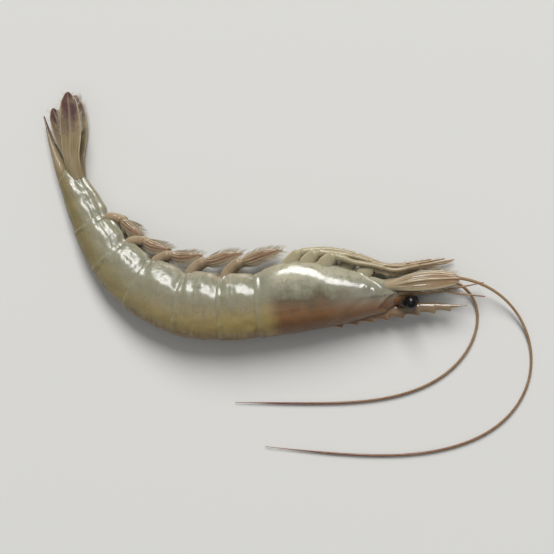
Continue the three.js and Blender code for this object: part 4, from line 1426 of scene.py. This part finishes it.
def walking_legs(shape):
    draw = np.random.default_rng(LEG_SEED)
    for pair in range(LEG_PAIRS):
        for side, sign in SIDES.items():
            skins = Skins()
            leg = walking_leg(leg_path(pair, sign))
            leg.add_to(skins)
            if pair < PINCER_PAIRS:
                pincer(leg).add_to(skins, along=PINCER_COLOUR_ALONG)
            leg.fringe(skins, shape, draw, **LEG_FRINGE)
            name = f"walking_leg_{pair + 1}_{side}"
            skins.piece(name, finishes("limb", "bristle"), "limb", name)


def mouth_legs(shape):
    draw = np.random.default_rng(MOUTH_LEG_SEED)
    path = [(MOUTH_LEG_ROOT, head_belly(MOUTH_LEG_ROOT) + MOUTH_LEG_SINK, MOUTH_LEG_SPREAD)]
    path += [(f, head_belly(f) - MOUTH_LEG_LANE, MOUTH_LEG_SPREAD) for f in MOUTH_LEG_STATIONS]
    for side, sign in SIDES.items():
        skins = Skins()
        leg = tube(head_path(path, sign), MOUTH_LEG_RADIUS, MOUTH_LEG_MESH)
        leg.add_to(skins)
        leg.fringe(skins, shape, draw, **MOUTH_LEG_FRINGE)
        name = f"mouth_leg_{side}"
        skins.piece(name, finishes("limb", "bristle"), "limb", name)


SWIMMERET_PAIRS = 5
SWIMMERET_PLACE = 0.78
SWIMMERET_SPREAD = 2.5
SWIMMERET_LENGTH = 12.5
SWIMMERET_DROP = 3.4
SWIMMERET_SEED = 9
PADDLE_PATH = (
    (-0.08, -1.05, -0.1), (-0.04, -0.4, 0.0), (0.15, 0.24, 0.1), (0.42, 0.54, 0.3), (0.75, 0.85, 0.4),
    (1.0, 1.0, 0.3),
)
PADDLE_WIDTHS = profile((0, 0.8), (0.13, 1.15), (0.43, 0.95), (0.65, 1.15), (0.87, 0.75), (1, 0.12))
PADDLE_HEIGHTS = profile((0, 0.8), (0.13, 1.05), (0.43, 0.9), (0.56, 0.5), (0.74, 0.32), (1, 0.12))
PADDLE_SIZES = [jointed(half, (0.46,), 0.03) for half in (PADDLE_WIDTHS, PADDLE_HEIGHTS)]
PADDLE_MESH = (80, 36)
PADDLE_FRINGE = {"span": (0.49, 0.99), "count": 70, "lean": 1.6}
PADDLE_RIB = (0.8, 0.15, 0.16)
PADDLE_FINE_RIBS = 0.2
PADDLE_FINE_RIB_RATE = 17.0
PADDLE_RIB_START = (0.44, 0.57)
BRANCH_PATH = ((0.15, 0.15, -0.4), (0.4, 0.34, -0.8), (0.72, 0.52, -0.9))
BRANCH_SIZES = (profile((0, 0.5), (0.5, 0.75), (1, 0.15)), profile((0, 0.5), (0.5, 0.3), (1, 0.12)))
BRANCH_MESH = (40, 28)
BRANCH_FRINGE = {"span": (0.3, 0.99), "count": 40, "lean": 1.6, "size": 0.8}


def paddle_relief(t, across):
    """A rib along the leaf of a paddle and fine ribs beside it."""
    ribs = bump(across, *PADDLE_RIB) + PADDLE_FINE_RIBS * np.cos(across * PADDLE_FINE_RIB_RATE)
    return 1.0 + ribs * smoothstep(t, *PADDLE_RIB_START)


def swimmeret_path(root, stations, sign):
    """Points under the belly from shares of a swimmeret's length and drop, and distances outwards."""
    size = HALF_WIDTH(root) / HALF_WIDTH(0.0)
    return [
        place(
            root - share * SWIMMERET_LENGTH * size, -BELLY_DEPTH(root) - drop * SWIMMERET_DROP * size,
            sign * (SWIMMERET_SPREAD * size + outwards),
        )
        for share, drop, outwards in stations
    ]


def swimmerets(shape):
    draw = np.random.default_rng(SWIMMERET_SEED)
    for pair in range(SWIMMERET_PAIRS):
        root = JOINTS[pair] + SWIMMERET_PLACE * RING_LENGTHS[pair]
        for side, sign in SIDES.items():
            skins = Skins()
            paddle = Limb(
                swimmeret_path(root, PADDLE_PATH, sign), *PADDLE_SIZES, PADDLE_MESH, relief=paddle_relief,
            )
            branch = Limb(
                swimmeret_path(root, BRANCH_PATH, sign), *BRANCH_SIZES, BRANCH_MESH, relief=paddle_relief,
            )
            paddle.add_to(skins)
            branch.add_to(skins)
            paddle.fringe(skins, shape, draw, **PADDLE_FRINGE)
            branch.fringe(skins, shape, draw, **BRANCH_FRINGE)
            name = f"swimmeret_{pair + 1}_{side}"
            skins.piece(name, finishes("paddle", "bristle"), "swimmeret", name)


# Stage

CAMERA_AIM = Vector((0.0, -0.001, 0.006))
FLOOR_SIZE = 20.0
KEY_DISTANCE = 3.0
KEY_ASIDE = 0.15
KEY_SIZE = (1.1, 2.3)
KEY_ROLL = math.radians(40.0)
FILL_PLACE = (0.0, -0.3, 3.5)
FILL_SIZE = (4.0, 4.0)
SKY_COLOUR = (0.95, 0.97, 1.0, 1.0)


def area_light(name, place_at, size, power, shape="RECTANGLE", roll=0.0):
    light = bpy.data.lights.new(name, "AREA")
    light.shape = shape
    light.size, light.size_y = size
    light.energy = power
    lamp = bpy.data.objects.new(name, light)
    lamp.location = place_at
    aimed = (CAMERA_AIM - Vector(place_at)).to_track_quat("-Z", "Y")
    lamp.rotation_euler = (aimed @ Quaternion((0.0, 0.0, 1.0), roll)).to_euler()
    bpy.context.scene.collection.objects.link(lamp)


def floor_material(colour):
    material = bpy.data.materials.new("plain_floor")
    material.use_nodes = True
    shader = material.node_tree.nodes["Principled BSDF"]
    shader.inputs["Base Color"].default_value = tuple(colour)
    shader.inputs["Roughness"].default_value = 1.0
    shader.inputs["Specular IOR Level"].default_value = 0.0
    return material


def stage(settings):
    scene = bpy.context.scene
    mesh = bpy.data.meshes.new("floor")
    half = FLOOR_SIZE / 2
    corners = [(-half, -half, 0), (half, -half, 0), (half, half, 0), (-half, half, 0)]
    mesh.from_pydata(corners, [], [(0, 1, 2, 3)])
    mesh.materials.append(floor_material(settings.floor))
    floor = bpy.data.objects.new("floor", mesh)
    scene.collection.objects.link(floor)
    raised = settings.key_elevation
    key_at = (KEY_ASIDE, KEY_DISTANCE * math.cos(raised), KEY_DISTANCE * math.sin(raised))
    area_light("key_light", key_at, KEY_SIZE, settings.key_power, "ELLIPSE", KEY_ROLL)
    area_light("fill_light", FILL_PLACE, FILL_SIZE, settings.fill_power)
    world = bpy.data.worlds.new("soft_light")
    world.use_nodes = True
    sky = world.node_tree.nodes["Background"]
    sky.inputs["Color"].default_value = SKY_COLOUR
    sky.inputs["Strength"].default_value = settings.sky_strength
    scene.world = world
    scene.view_settings.view_transform = "Standard"
    camera_data = bpy.data.cameras.new("camera")
    camera_data.lens = settings.camera_lens
    camera = bpy.data.objects.new("camera", camera_data)
    reach = settings.view_width * settings.camera_lens / camera_data.sensor_width
    tilt = settings.camera_tilt
    camera.location = CAMERA_AIM + Vector((math.sin(tilt), 0.0, math.cos(tilt))) * reach
    camera.rotation_euler = (0.0, tilt, 0.0)
    scene.collection.objects.link(camera)
    scene.camera = camera


# Operators and panel


class PRAWN_OT_finishes(bpy.types.Operator):
    """Make the materials that the pieces share"""

    bl_idname = "prawn.finishes"
    bl_label = "Finishes"

    def execute(self, context):
        make_finishes(context.scene.prawn_colours)
        return {"FINISHED"}


class PRAWN_OT_head_shell(bpy.types.Operator):
    """Make the head shell with its toothed rostrum"""

    bl_idname = "prawn.head_shell"
    bl_label = "Head shell"

    def execute(self, context):
        head_shell(context.scene.prawn_shape)
        return {"FINISHED"}


class PRAWN_OT_rings(bpy.types.Operator):
    """Make the rings of the abdomen"""

    bl_idname = "prawn.rings"
    bl_label = "Abdomen rings"

    def execute(self, context):
        for index in range(len(RING_LENGTHS)):
            ring(context.scene.prawn_shape, index)
        return {"FINISHED"}


class PRAWN_OT_tail_fan(bpy.types.Operator):
    """Make the telson and the tail blades"""

    bl_idname = "prawn.tail_fan"
    bl_label = "Tail fan"

    def execute(self, context):
        tail_fan(context.scene.prawn_shape)
        return {"FINISHED"}


class PRAWN_OT_eyes(bpy.types.Operator):
    """Make the eyes and their stalks"""

    bl_idname = "prawn.eyes"
    bl_label = "Eyes"

    def execute(self, context):
        eyes()
        return {"FINISHED"}


class PRAWN_OT_scales(bpy.types.Operator):
    """Make the antennal scales and their bases"""

    bl_idname = "prawn.scales"
    bl_label = "Antennal scales"

    def execute(self, context):
        scales(context.scene.prawn_shape)
        return {"FINISHED"}


class PRAWN_OT_feelers(bpy.types.Operator):
    """Make the short and the long feelers"""

    bl_idname = "prawn.feelers"
    bl_label = "Feelers"

    def execute(self, context):
        feelers(context.scene.prawn_shape)
        return {"FINISHED"}


class PRAWN_OT_legs(bpy.types.Operator):
    """Make the walking legs and the mouth legs"""

    bl_idname = "prawn.legs"
    bl_label = "Legs"

    def execute(self, context):
        walking_legs(context.scene.prawn_shape)
        mouth_legs(context.scene.prawn_shape)
        return {"FINISHED"}


class PRAWN_OT_swimmerets(bpy.types.Operator):
    """Make the swimmerets under the abdomen"""

    bl_idname = "prawn.swimmerets"
    bl_label = "Swimmerets"

    def execute(self, context):
        swimmerets(context.scene.prawn_shape)
        return {"FINISHED"}


class PRAWN_OT_stage(bpy.types.Operator):
    """Make the floor, the lights and the camera"""

    bl_idname = "prawn.stage"
    bl_label = "Stage"

    def execute(self, context):
        stage(context.scene.prawn_stage)
        return {"FINISHED"}


STEPS = (
    PRAWN_OT_finishes, PRAWN_OT_stage, PRAWN_OT_head_shell, PRAWN_OT_rings, PRAWN_OT_tail_fan,
    PRAWN_OT_eyes, PRAWN_OT_scales, PRAWN_OT_feelers, PRAWN_OT_legs, PRAWN_OT_swimmerets,
)


class PRAWN_PT_pieces(bpy.types.Panel):
    """The pieces of the prawn, in the order in which they are made"""

    bl_label = "Raw prawn"
    bl_space_type = "VIEW_3D"
    bl_region_type = "UI"
    bl_category = "Prawn"

    def draw(self, context):
        for step in STEPS:
            self.layout.operator(step.bl_idname)


GROUPS = {"prawn_shape": PrawnShape, "prawn_colours": PrawnColours, "prawn_stage": PrawnStage}


def register():
    for cls in (*GROUPS.values(), *STEPS, PRAWN_PT_pieces):
        bpy.utils.register_class(cls)
    for name, group in GROUPS.items():
        setattr(bpy.types.Scene, name, PointerProperty(type=group))


def unregister():
    for name in GROUPS:
        delattr(bpy.types.Scene, name)
    for cls in reversed((*GROUPS.values(), *STEPS, PRAWN_PT_pieces)):
        bpy.utils.unregister_class(cls)


def main():
    register()
    bpy.ops.prawn.finishes()
    bpy.ops.prawn.stage()
    bpy.ops.prawn.head_shell()
    bpy.ops.prawn.rings()
    bpy.ops.prawn.tail_fan()
    bpy.ops.prawn.eyes()
    bpy.ops.prawn.scales()
    bpy.ops.prawn.feelers()
    bpy.ops.prawn.legs()
    bpy.ops.prawn.swimmerets()


if __name__ == "__main__":
    main()
